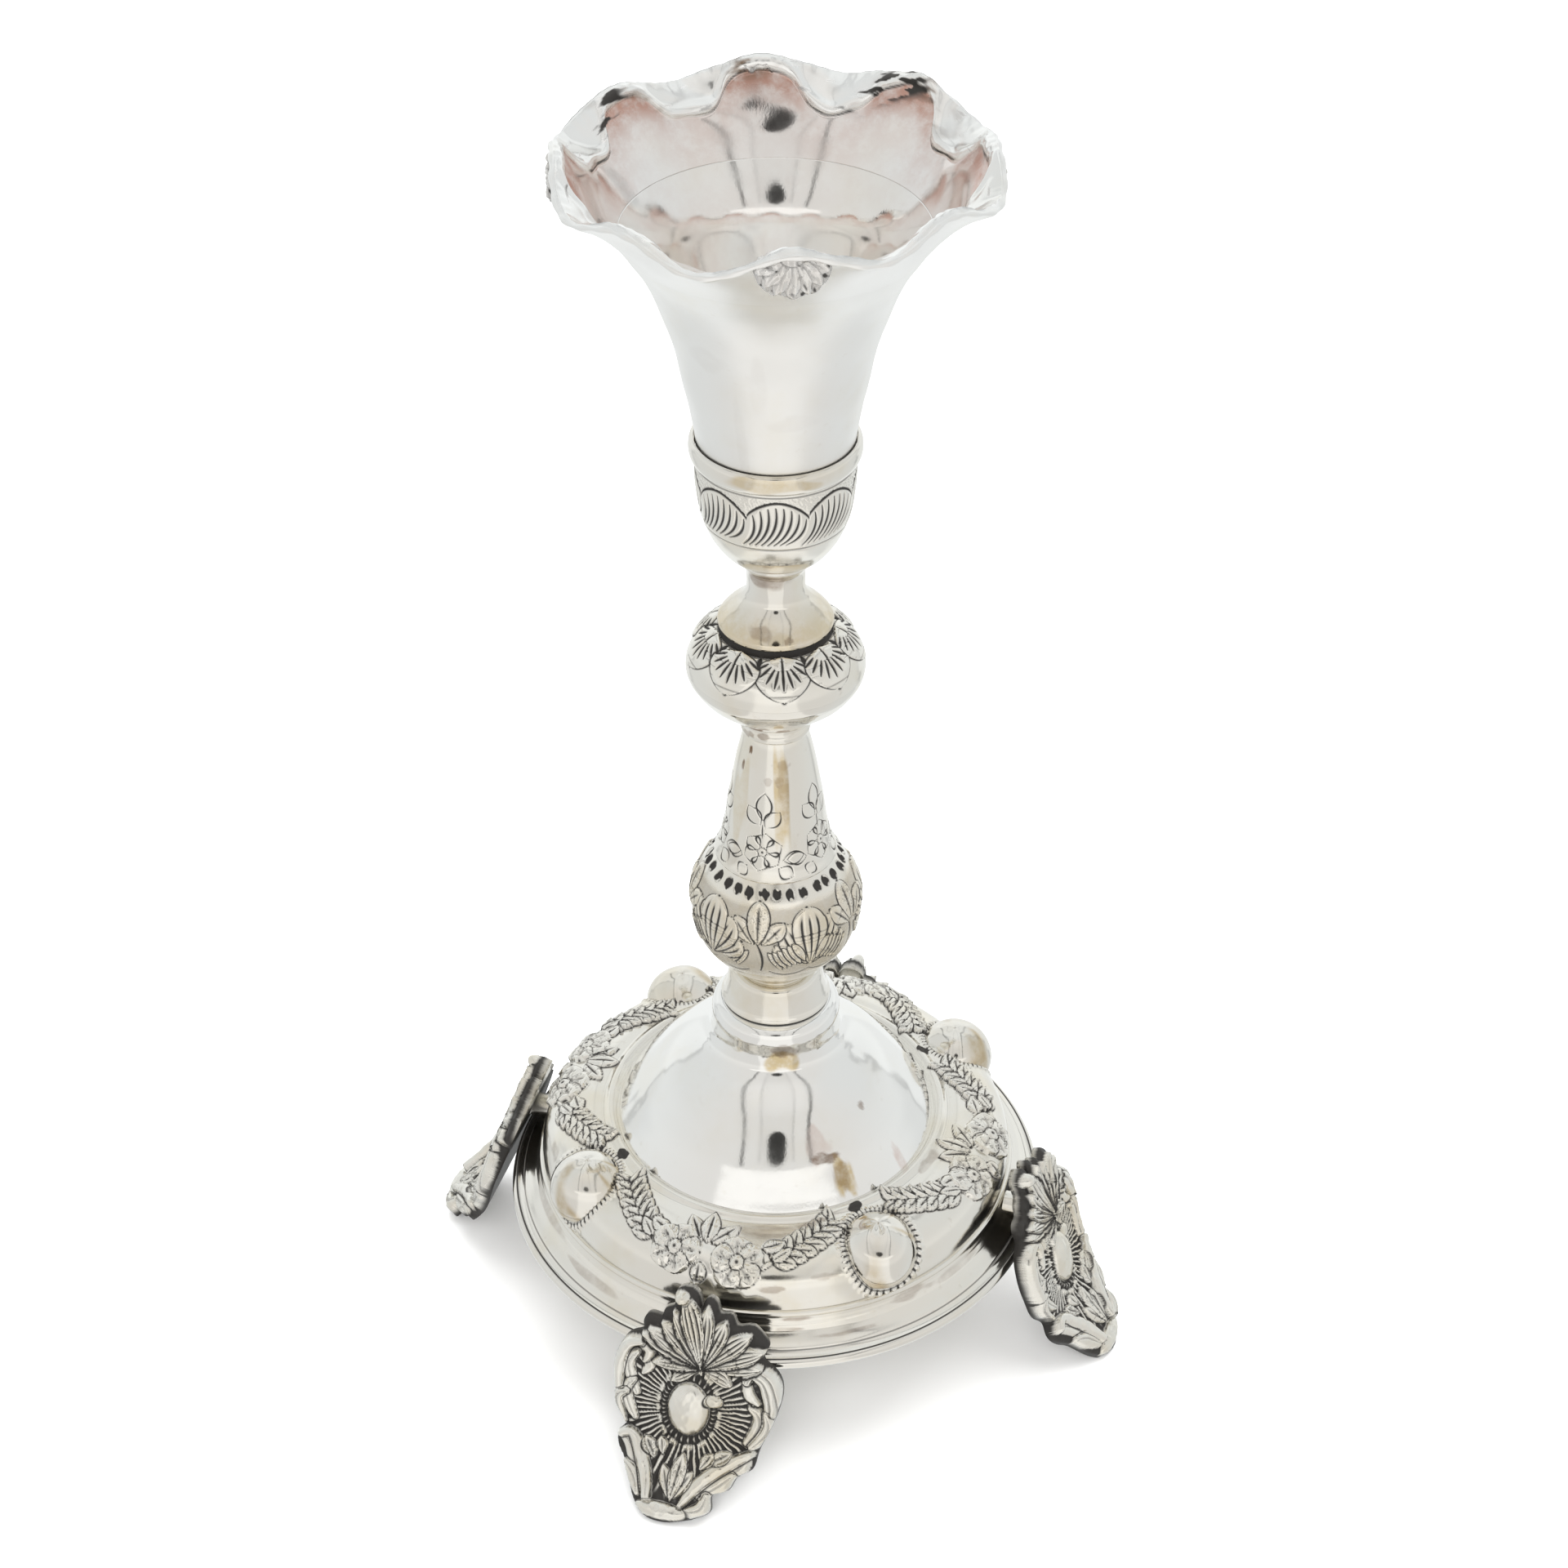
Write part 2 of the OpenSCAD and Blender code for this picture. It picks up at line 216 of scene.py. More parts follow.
def ridge(points, width, rise, strands=1):
    """A raised band along a curve of [across, up] points, tapering to both ends."""
    line = spline(points, 0.4)
    along = run_length(line) / run_length(line)[-1]

    def shape(x, y):
        gap = np.hypot(x[..., None] - line[:, 0], y[..., None] - line[:, 1])
        k = gap.argmin(-1)
        t, gap = along[k], gap.min(-1)
        half = width / 2 * (0.3 + 0.7 * np.sin(math.pi * np.clip(t * 0.86 + 0.1, 0, 1)) ** 0.7)
        q = np.clip(gap / half, 0, 1)
        h = rise * np.sqrt(1 - q * q) * 0.8 + 0.35 * rise
        p = 0.05 + 0.0 * x
        if strands > 1:
            groove = bump(np.cos(math.pi * (strands - 1) * q) - (-1) ** (strands - 1), 0.5)
            groove = groove * ease(1.0, 0.8, q)
            h = h - 0.3 * rise * groove
            p = 0.6 * groove
        return gap - half, h, p

    return shape


# ---- Meshes ----


def make(name, body, nodes, material, points, quads, layers=None):
    """A smooth mesh from points in mm, riding on a body and standing for CAD nodes."""
    mesh = bpy.data.meshes.new(name)
    mesh.from_pydata((np.asarray(points) * MM).tolist(), [], np.asarray(quads).tolist())
    for layer, values in (layers or {}).items():
        attribute = mesh.attributes.new(layer, "FLOAT", "POINT")
        attribute.data.foreach_set("value", np.asarray(values, np.float32))
    mesh.validate()
    mesh.shade_smooth()
    mesh.materials.append(material)
    piece = bpy.data.objects.new(name, mesh)
    bpy.context.scene.collection.objects.link(piece)
    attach(piece, body)
    if nodes:
        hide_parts(*nodes)
    return piece


def wrap_quads(rows, cols):
    """Faces of a grid that closes on itself both ways."""
    i, j = np.meshgrid(np.arange(rows), np.arange(cols), indexing="ij")
    below, beside = (i + 1) % rows, (j + 1) % cols
    corners = [i * cols + j, below * cols + j, below * cols + beside, i * cols + beside]
    return np.stack(corners, -1).reshape(-1, 4)


GUARD = 0.04


def guarded(curve):
    """The same curve with an extra point just in from each end, which keeps the shading clean there."""
    curve = np.array(curve, float)
    first, last = curve[1] - curve[0], curve[-2] - curve[-1]
    first, last = (GUARD * step / np.linalg.norm(step) for step in (first, last))
    return np.vstack([curve[:1], curve[:1] + first, curve[1:-1], curve[-1:] + last, curve[-1:]])


class Turned:
    """A turned or spun piece: a fine outer surface that can take relief, and a plain back."""

    def __init__(self, curve, step, columns):
        self.curve = guarded(spline(curve, step))
        self.down = run_length(self.curve)
        self.azimuth = np.arange(columns) * 360 / columns
        self.relief = Relief(self.down, self.azimuth, np.radians(self.curve[:, 0]), 360.0)

    def at_height(self, azimuth, height):
        return azimuth, float(np.interp(-height, -self.curve[:, 1], self.down))

    def at_radius(self, azimuth, radius):
        return azimuth, float(np.interp(radius, self.curve[:, 0], self.down))

    # Lays stains, and in one place painted shade
    def stains(self, spots, layer="stain", find=None):
        """Ragged patches; each lists azimuth, height, half width, half height, strength and seed. find
        turns the first two into a place, when the second isn't a height."""
        for azimuth, height, wide, tall, strength, seed in spots:
            self.relief.blot((find or self.at_height)(azimuth, height), (wide, tall), layer, strength, seed)

    def warp(self, size, waves, seed):
        """Slight unevenness from hand work, which bends the reflections."""
        taper = np.minimum(self.down, self.down[-1] - self.down)[:, None]
        noise = wander(self.azimuth[None, :], self.down[:, None], waves, seed)
        self.relief.height += size * noise * ease(0, 3, taper)

    def build(self, name, body, nodes, slot, material, back, inner_blush=0.0):
        """back lists [radius, height] from the foot of the outer surface round to its top."""
        normal = outward(self.curve)
        angle = np.radians(self.azimuth)
        r = self.curve[:, :1] + self.relief.height * normal[:, :1]
        z = self.curve[:, 1:] + self.relief.height * normal[:, 1:]
        back = guarded(back)
        r = np.vstack([r, np.repeat(back[:, :1], len(angle), 1)])
        z = np.vstack([z, np.repeat(back[:, 1:], len(angle), 1)])
        points = np.stack([r * np.cos(angle), r * np.sin(angle), z], -1).reshape(-1, 3)
        plain = np.zeros((len(back), len(angle)))
        tinted = inner_blush * (1 + 0.4 * wander(self.azimuth, back[:, 1:], 6, 12))
        layers = {
            layer: np.vstack([getattr(self.relief, layer), tinted if layer == "blush" else plain]).ravel()
            for layer in LAYERS
        }
        return make(name, body, nodes, material, points, wrap_quads(*r.shape), layers)


def behind(curve, wall, top=None, bottom=None):
    """The back of a spun shell, from its foot to its top; top and bottom are radii of inner flanges."""
    coarse = spline(curve, 2.5)
    inner = coarse - wall * outward(coarse)
    high, low = curve[0][1], curve[-1][1]
    kept = [q for q in inner[::-1].tolist() if low + wall < q[1] < high - wall]
    first = [[curve[-1][0] - wall, low]]
    if bottom:
        first = [[bottom, low], [bottom, low + wall], [curve[-1][0] - wall, low + wall]]
    last = [[curve[0][0] - wall, high]]
    if top:
        last = [[curve[0][0] - wall, high - wall], [top, high - wall], [top, high]]
    return first + kept + last


# ---- Materials ----


class Graph:
    """Short calls for building a node tree."""

    def __init__(self, tree):
        self.tree = tree
        tree.nodes.clear()

    def add(self, kind, inputs=None, **settings):
        node = self.tree.nodes.new("ShaderNode" + kind)
        for key, value in settings.items():
            setattr(node, key, value)
        for key, value in (inputs or {}).items():
            self.put(node.inputs[key], value)
        return node

    def put(self, socket, value):
        if isinstance(value, bpy.types.NodeSocket):
            self.tree.links.new(value, socket)
        else:
            socket.default_value = value

    def math(self, operation, *values):
        return self.add("Math", dict(enumerate(values)), operation=operation).outputs[0]

    def times(self, *values):
        total = values[0]
        for value in values[1:]:
            total = self.math("MULTIPLY", total, value)
        return total

    def plus(self, a, b):
        return self.math("ADD", a, b)

    def minus(self, a, b):
        return self.math("SUBTRACT", a, b)

    def span(self, value, low, high, to_low=0.0, to_high=1.0):
        inputs = {0: value, 1: low, 2: high, 3: to_low, 4: to_high}
        return self.add("MapRange", inputs, interpolation_type="SMOOTHSTEP").outputs[0]

    def mix(self, share, a, b):
        node = self.add("Mix", data_type="RGBA")
        self.put(node.inputs["Factor"], share)
        self.put(node.inputs[6], a)
        self.put(node.inputs[7], b)
        return node.outputs[2]

    def noise(self, scale, detail=3.0, rough=0.5, vector=None):
        vector = vector or self.add("TexCoord").outputs["Object"]
        inputs = {"Vector": vector, "Scale": scale, "Detail": detail, "Roughness": rough}
        return self.add("TexNoise", inputs).outputs[0]


def rgb(r, g, b):
    return (r, g, b, 1.0)


SPECK_BROWN = rgb(0.55, 0.45, 0.33)
GILT_YELLOW = rgb(0.66, 0.52, 0.28)
BLUSH_PINK = rgb(0.60, 0.36, 0.29)
STAIN_AND_SHADE_BROWN = rgb(0.23, 0.145, 0.09)
PATINA_AND_SHADE_BLACK = rgb(0.022, 0.02, 0.018)
SATIN_ROUGH = 0.26


def silver(name, gloss, tarnish, bright=(0.95, 0.945, 0.925), warm=(0.86, 0.80, 0.66)):
    """Worn silver: warm clouds of tarnish, fine scratches, black left in the recesses, and black and brown
    painted shade where the layers carry it.
    """
    material = bpy.data.materials.new(name)
    material.use_nodes = True
    g = Graph(material.node_tree)
    place = g.add("TexCoord").outputs["Object"]
    clouds = g.span(g.noise(55, 4, 0.6, place), 0.45, 0.72)
    specks = g.span(g.noise(420, 3, 0.6, place), 0.62, 0.78)
    patina_and_shade, stain, blush, satin, gilt = (
        g.add("Attribute", attribute_name=layer).outputs["Fac"] for layer in LAYERS
    )
    colour = g.mix(g.times(clouds, tarnish), rgb(*bright), rgb(*warm))
    colour = g.mix(g.times(specks, 0.35 * tarnish), colour, SPECK_BROWN)
    mottle = g.span(g.noise(260, 4, 0.65, place), 0.3, 0.65, 0.45, 1.0)
    colour = g.mix(g.times(gilt, mottle), colour, GILT_YELLOW)
    colour = g.mix(g.times(blush, mottle), colour, BLUSH_PINK)
    # Brown stains, which also paint the shade in the gap at the trumpet's foot
    colour = g.mix(g.times(stain, mottle), colour, STAIN_AND_SHADE_BROWN)
    # Black oxide in the recesses, which also paints the shade on the backs of the feet
    patina_and_shade_mask = g.span(patina_and_shade, 0.08, 0.85)
    colour = g.mix(patina_and_shade_mask, colour, PATINA_AND_SHADE_BLACK)
    scratches = g.add("Mapping", {"Vector": place, "Scale": (1.0, 1.0, 0.12)}).outputs[0]
    fine = g.noise(2600, 2, 0.5, scratches)
    bump_node = g.add("Bump", {"Height": fine, "Strength": 0.018, "Distance": 0.0003})
    rough = g.span(g.noise(120, 3, 0.6, place), 0.3, 0.8, gloss, gloss + 0.1)
    tinted = g.math("MAXIMUM", blush, stain)
    worn = g.math("MAXIMUM", g.times(patina_and_shade_mask, 0.55), g.times(tinted, 0.3))
    shader = g.add("BsdfPrincipled", {
        "Base Color": colour,
        "Metallic": g.minus(1.0, g.times(patina_and_shade_mask, 0.8)),
        "Roughness": g.math("MAXIMUM", g.plus(rough, g.times(satin, SATIN_ROUGH)), worn),
        "Normal": bump_node.outputs[0],
    })
    g.put(g.add("OutputMaterial").inputs[0], shader.outputs[0])
    return material


def plain_metal(name, light, dark, gloss):
    material = bpy.data.materials.new(name)
    material.use_nodes = True
    g = Graph(material.node_tree)
    wear = g.span(g.noise(300, 4, 0.6), 0.35, 0.7)
    turned = g.add("Mapping", {"Vector": g.add("TexCoord").outputs["Object"], "Scale": (0.1, 0.1, 1.0)})
    lines = g.noise(4000, 1, 0.5, turned.outputs[0])
    shader = g.add("BsdfPrincipled", {
        "Base Color": g.mix(wear, rgb(*light), rgb(*dark)),
        "Metallic": 1.0,
        "Roughness": g.span(wear, 0, 1, gloss, gloss + 0.2),
        "Normal": g.add("Bump", {"Height": lines, "Strength": 0.1, "Distance": 0.0002}).outputs[0],
    })
    g.put(g.add("OutputMaterial").inputs[0], shader.outputs[0])
    return material


POLISHED = silver("polished_silver", 0.06, 0.22)
TURNED = silver("turned_silver", 0.08, 0.5, bright=(0.87, 0.845, 0.79), warm=(0.78, 0.70, 0.54))
CHASED = silver("chased_silver", 0.12, 0.45, bright=(0.9, 0.875, 0.815), warm=(0.82, 0.74, 0.57))
CAST = silver("cast_silver", 0.2, 0.6, bright=(0.88, 0.86, 0.80), warm=(0.74, 0.66, 0.50))
RIM_SILVER = silver("rim_silver", 0.08, 0.2, bright=(0.97, 0.965, 0.95), warm=(0.88, 0.84, 0.74))
STEEL = plain_metal("rod_steel", (0.52, 0.53, 0.55), (0.36, 0.35, 0.34), 0.25)
BRASS = plain_metal("nut_brass", (0.72, 0.55, 0.27), (0.45, 0.32, 0.16), 0.25)

BORE_R = 2.6
WALL = 1.0


# ---- Nozzle ----

JOIN_Z = 258.2
OUTSIDE = [
    [40, 270.3], [38.4, 269.4], [36.6, 268], [34, 265.2], [31.2, 261.6], [28.7, JOIN_Z], [27.3, 256],
    [25.3, 253], [23.7, 250], [22.4, 247], [21, 243], [19.3, 238], [18.1, 233], [17.2, 228], [16.3, 224],
    [15.6, 220], [15.1, 217], [14.9, 214.6], [14.7, 212.1]
]
INSIDE = [
    [13.9, 213.2], [14.1, 216], [14.7, 220], [15.4, 224], [16.3, 228], [17.2, 233], [18.5, 238],
    [20.2, 243], [21.5, 247], [22.6, 250], [25.1, 254.2], [28.1, JOIN_Z], [31.2, 262], [34.1, 266],
    [36.9, 269], [38.6, 270.8], [39.6, 271.5]
]
SOCKET_OUT = 11.15


def trumpet():
    """The spun trumpet, with its floor ring round the candle socket."""
    whole = spline(OUTSIDE, 0.5)
    piece = Turned(whole[whole[:, 1] <= JOIN_Z + 0.25], 0.5, 384)
    piece.warp(0.04, 4, 11)
    inner = spline(INSIDE, 1.0)
    inner = inner[inner[:, 1] <= JOIN_Z + 0.25]
    back = [[SOCKET_OUT, 212.05], [SOCKET_OUT, 213]] + inner.tolist()
    # The last spot, low at the front, is painted shade of the gap where the trumpet sits in the cup lip; the
    # others are faint stains
    piece.stains([
        (-82, 236, 2.5, 9, 0.05, 236), (-60, 228, 5, 2, 0.05, 228), (-110, 240, 4, 3, 0.05, 240),
        (-96, 224, 1, 12, 0.05, 224), (-90, 214.4, 12, 1.6, 0.5, 4)
    ])
    # Painted shade: a brown band round the foot of the trumpet, in the gap inside the cup lip
    piece.relief.stain += 0.7 * bump(piece.curve[:, 1:] - 213.2, 0.5)
    piece.relief.satin += 1.0
    return piece.build("nozzle_trumpet_spun", "nozzle", ["nozzle_trumpet"], "polished_silver", POLISHED,
                       back, 0.1)


LOBES = 8
FIRST_LOBE = -69


def lobe(azimuth):
    """1 on a raised lobe of the rim and -1 in the hollow between two."""
    return np.cos(np.radians(LOBES * (azimuth - FIRST_LOBE)))


def rim():
    """The ruffled border: smooth petals inside, a rolled and scalloped cast band along the edge."""
    columns = 900
    azimuth = np.arange(columns) * 360 / columns
    w = lobe(azimuth) + 0.14 * wander(azimuth, 0.0, 6, 21)
    inside = spline(INSIDE, 0.3)
    inside = guarded(inside[inside[:, 1] >= JOIN_Z - 0.2])
    edge = spline([[39.6, 271.5], [40.25, 271.4], [40.45, 270.8], [40, 270.3]], 0.2)[1:-1]
    outside = spline(OUTSIDE, 0.5)
    outside = guarded(outside[outside[:, 1] >= JOIN_Z - 0.25])
    section = np.vstack([inside, edge, outside])
    lift = ease(30, 39.5, section[:, 0])[:, None]
    r = section[:, :1] - 0.7 * lift * w
    z = section[:, 1:] + 1.75 * lift * w + 0.4 * lift * np.sin(np.radians(azimuth - 40) * 3)

    # Height of the cast band over the inner surface, which is widest between the petals
    down = run_length(section)
    to_edge = down[len(inside) - 1] - down[:, None]
    band = 5.4 - 3.2 * np.tanh(2.2 * w) + 0.35 * wander(azimuth, 0.0, 26, 22)
    past = to_edge - band
    on_band = ease(0.5, -0.5, past)
    roll = 0.5 + 0.55 * bump(past + 1.5, 1.2) + 0.55 * bump(w + 1, 0.6) * bump(past + 4, 2.6)
    fluting = 0.05 * np.cos(np.radians(azimuth * 96)) * ease(3.6, 0.5, to_edge)
    folds = 0.24 * wander(azimuth, down[:, None], 22, 23) * ease(0.3, 2.2, -past)
    front = np.zeros((len(section), 1))
    front[: len(inside)] = 1
    height = front * on_band * (roll + fluting + folds)
    under = 1 - front
    height = height + under * 0.12 * np.cos(np.radians(azimuth * 48)) * ease(36.5, 38.5, section[:, :1])

    crust = wander(azimuth, down[:, None] * 2.2, 60, 24)
    patchy = ease(-0.8, 1.2, wander(azimuth, down[:, None], 16, 25))
    patina_and_shade = front * bump(past - 0.1, 0.3) * (0.15 + 0.6 * patchy)
    patina_and_shade = patina_and_shade + front * on_band * 0.5 * ease(1.3, 2.3, crust)
    stain = front * on_band * 0.3 * ease(0.9, 1.8, wander(azimuth, down[:, None] * 1.2, 30, 26))
    black_spots = [(70, 10, 1.6), (161, 8, 1.1), (-100, 5, 0.3), (20, 4, 0.4), (-150, 5, 0.4)]
    for centre, wide, strength in black_spots:
        gap = (azimuth - centre + 180) % 360 - 180
        patina_and_shade = patina_and_shade + front * strength * bump(gap, wide) * bump(past + 0.4, 3.2) * ease(-0.6, 0.7, crust)
    for centre, wide, strength in [(115, 6, 1.3), (150, 7, 0.6), (60, 9, 0.8), (-95, 9, 0.4)]:
        gap = (azimuth - centre + 180) % 360 - 180
        stain = stain + front * strength * bump(gap, wide) * bump(past + 0.6, 1.8) * ease(-0.2, 0.9, crust)
    tip = ease(-0.5, 0.7, w)
    right = 1 + 0.2 * bump((azimuth - 60 + 180) % 360 - 180, 40)
    cloud = 0.85 * right * bump(past, 3.8) * tip + 0.3 * bump(past, 11) + 0.08
    blush = front * ease(-0.2, 0.5, past) * cloud

    normal = outward(section)
    r = r + height * normal[:, :1]
    z = z + height * normal[:, 1:]
    angle = np.radians(azimuth)
    points = np.stack([r * np.cos(angle), r * np.sin(angle), z], -1).reshape(-1, 3)
    satin = np.maximum(front * on_band * 0.4, under)
    layers = {"patina_and_shade": patina_and_shade, "stain": stain, "blush": blush, "satin": satin + 0 * patina_and_shade}
    layers = {layer: np.clip(values, 0, 1).ravel() for layer, values in layers.items()}
    return make("nozzle_rim_ruffled", "nozzle", ["nozzle_rim"], RIM_SILVER, points,
                wrap_quads(*r.shape), layers)


# ---- Plates: cast leaves and feet, worked as a relief on a bent sheet and clipped to an outline ----


def inside_outline(outline, x, y):
    """Signed distance to a closed outline, negative inside."""
    ends = np.roll(outline, -1, axis=0)
    best, crossings = np.full(x.shape, 1e9), np.zeros(x.shape, int)
    for (x0, y0), (x1, y1) in zip(outline, ends):
        ex, ey = x1 - x0, y1 - y0
        t = np.clip(((x - x0) * ex + (y - y0) * ey) / (ex * ex + ey * ey + 1e-12), 0, 1)
        best = np.minimum(best, np.hypot(x - x0 - t * ex, y - y0 - t * ey))
        if y0 != y1:
            between = (y0 <= y) != (y1 <= y)
            crossings += between & (x < x0 + (y - y0) * ex / ey)
    return np.where(crossings % 2 == 1, -best, best)


class Plate:
    """A cast plate bent along a path of [distance from axis, height] and cut to an outline of
    [across, down] points, both in mm."""

    def __init__(self, path, outline, step, thick):
        self.path, self.thick = spline(path, 0.5), thick
        outline = np.array(outline, float)
        loop = spline(np.vstack([outline[-2:], outline, outline[:2]]), 0.3)
        gap, half = np.hypot(*(loop - outline[0]).T), len(loop) // 2
        self.outline = loop[gap[:half].argmin() : half + gap[half:].argmin()]
        low, high = self.outline.min(0) - 0.5, self.outline.max(0) + 0.5
        across, down = np.arange(low[0], high[0], step), np.arange(low[1], high[1], step)
        self.relief = Relief(down, across, 1.0)
        self.x, self.y = np.meshgrid(across, down)
        self.depth = inside_outline(self.outline, self.x, self.y)

    def round_edge(self, width, drop):
        t = np.clip(1 + self.depth / width, 0, 1)
        self.relief.height -= drop * (1 - np.sqrt(1 - t * t * 0.98))

    def bent(self, x, y, height):
        run = run_length(self.path)
        normal = outward(self.path)
        slope = np.gradient(self.path, run, axis=0)
        past = y - np.clip(y, 0, run[-1])
        r = np.interp(y, run, self.path[:, 0]) + past * np.interp(y, run, slope[:, 0])
        z = np.interp(y, run, self.path[:, 1]) + past * np.interp(y, run, slope[:, 1])
        nr, nz = (np.interp(y, run, normal[:, k]) for k in (0, 1))
        return np.stack([r + height * nr, x, z + height * nz], -1)

    def mesh(self, floor=None):
        """Points, faces and stain layers of the closed plate, in the axes of a foot at azimuth 0; the back
        is painted dark as shade.
        """
        rows, cols = self.x.shape
        centre = (self.depth[1:, 1:] + self.depth[:-1, :-1] + self.depth[1:, :-1] + self.depth[:-1, 1:]) / 4
        i, j = np.nonzero(centre < 0)
        a, b, c, d = i * cols + j, (i + 1) * cols + j, (i + 1) * cols + j + 1, i * cols + j + 1
        quads = np.stack([a, b, c, d], -1)
        edges = np.concatenate([quads[:, [k, (k + 1) % 4]] for k in range(4)])
        keys = edges.min(1) * rows * cols + edges.max(1)
        _, first, count = np.unique(keys, return_index=True, return_counts=True)
        border = edges[first[count == 1]]
        x, y, depth = self.x.ravel().copy(), self.y.ravel().copy(), self.depth.ravel()
        gy, gx = np.gradient(self.depth, self.relief.down, self.relief.across)
        on = np.unique(border)
        slope = np.hypot(gx.ravel()[on], gy.ravel()[on]) + 1e-6
        x[on] -= depth[on] * gx.ravel()[on] / slope
        y[on] -= depth[on] * gy.ravel()[on] / slope
        used, place = np.unique(quads, return_inverse=True)
        quads = place.reshape(quads.shape)
        slot = np.zeros(rows * cols, int)
        slot[used] = np.arange(len(used))
        border = slot[border]
        x, y = x[used], y[used]
        n = len(used)
        height = self.relief.height.ravel()[used]
        front = self.bent(x, y, height)
        back = self.bent(x, y, np.minimum(height - 0.8, -self.thick))
        points = np.vstack([front, back])
        if floor is not None:
            points[:, 2] = np.maximum(points[:, 2], floor)
        walls = np.stack([border[:, 1], border[:, 0], border[:, 0] + n, border[:, 1] + n], -1)
        faces = np.vstack([quads, quads[:, ::-1] + n, walls])
        layers = {}
        for layer in LAYERS:
            values = getattr(self.relief, layer).ravel()[used]
            # The back of the plate, dark from about 10 mm below its top: painted shade of the gap behind the
            # foot, partly tarnish
            back_shade = 0.2 + 0.75 * ease(4, 10, y) if layer == "patina_and_shade" else 0 * y
            layers[layer] = np.concatenate([values, back_shade])
        return points, faces, layers


def turn_about_axis(points, azimuth):
    c, s = math.cos(math.radians(azimuth)), math.sin(math.radians(azimuth))
    return points @ np.array([[c, s, 0], [-s, c, 0], [0, 0, 1]])


SHELL_TURN = 21


def rim_shells():
    """Four ribbed shells that hang from the rim, above the feet."""
    path = [[36.5, 272.2], [38.4, 271.8], [39.4, 270], [39.3, 267], [38.2, 264], [36.3, 261.5]]
    outline = [
        [-5.6, 1.5], [-6.6, 3.2], [-6, 5.2], [-5.6, 6.4], [-4.6, 7.6], [-3.4, 8.8], [-1.6, 9.2], [0, 10.2],
        [1.8, 9.4], [3.6, 8.8], [4.8, 7.4], [5.8, 6.2], [6.4, 4.6], [6.6, 3], [5.6, 1.4], [3, 0.5],
        [0, 0.3], [-3, 0.5]
    ]
    plate = Plate(path, outline, 0.2, 0.9)
    relief = plate.relief
    relief.patina_and_shade += 0.28
    relief.stain += 0.25
    for k in range(9):
        angle = 180 + (k - 4) * 22
        length = 8 - 0.4 * abs(k - 4)
        relief.lay((0, 1.2), angle, 10, leaf(length, 2.5, 0.6, 1.5, dark=0.3), 0.45, 0.35)
    relief.lay((0, 1.6), 0, 4, oval(2.2, 1.5, 0.8), 0.5, 0.28)
    relief.height += 0.12 * wander(relief.across[None, :] * 9, relief.down[:, None] * 2, 22, 31)
    crust = wander(relief.across[None, :] * 9, relief.down[:, None] * 3, 30, 32)
    relief.patina_and_shade = np.clip(relief.patina_and_shade + 0.16 + 0.35 * ease(0.7, 1.7, crust), 0, 1)
    plate.round_edge(0.8, 0.6)
    points, faces, layers = plate.mesh()
    for k, foot in enumerate(FEET, 1):
        turned = turn_about_axis(points, foot + SHELL_TURN)
        make(f"rim_shell_{k}", "nozzle", [], RIM_SILVER, turned, faces, layers)


# ---- Cup, neck and knop ----

CUP = [
    [15.25, 212], [15.3, 208.4], [14.95, 203.9], [14.3, 200.3], [13.1, 196.8], [12.2, 194.9],
    [11.1, 193.2], [9.4, 191.2], [6.8, 189.8]
]
CUP_BACK = [
    [2.6, 189.8], [2.6, 191.2], [8, 191.2], [10.3, 192.8], [11.8, 195.6], [13.5, 200.5], [14.1, 203.9],
    [14.4, 208.4], [14.3, 209.6], [13.6, 210.8], [13.6, 212]
]


def cup_lip():
    ring = [[15.4 + 0.95 * math.sin(a), 214.05 + 2.05 * math.cos(a)] for a in np.linspace(0, math.pi, 9)]
    piece = Turned(ring, 0.25, 256)
    piece.relief.blot(piece.at_height(-80, 214.5), (9, 1.5), "gilt", 0.6, 8)
    piece.relief.patina_and_shade[-3:] = 0.6
    return piece.build("cup_lip_bead", "stand", ["cup_lip"], "polished_silver", TURNED,
                       [[15.3, 212], [15.3, 216.1]])


def arch_height(share):
    """Height of the line over a gadroon, a share of the way across it."""
    return 207 + 3.6 * np.sin(math.pi * share) ** 0.75 - 0.9 * share


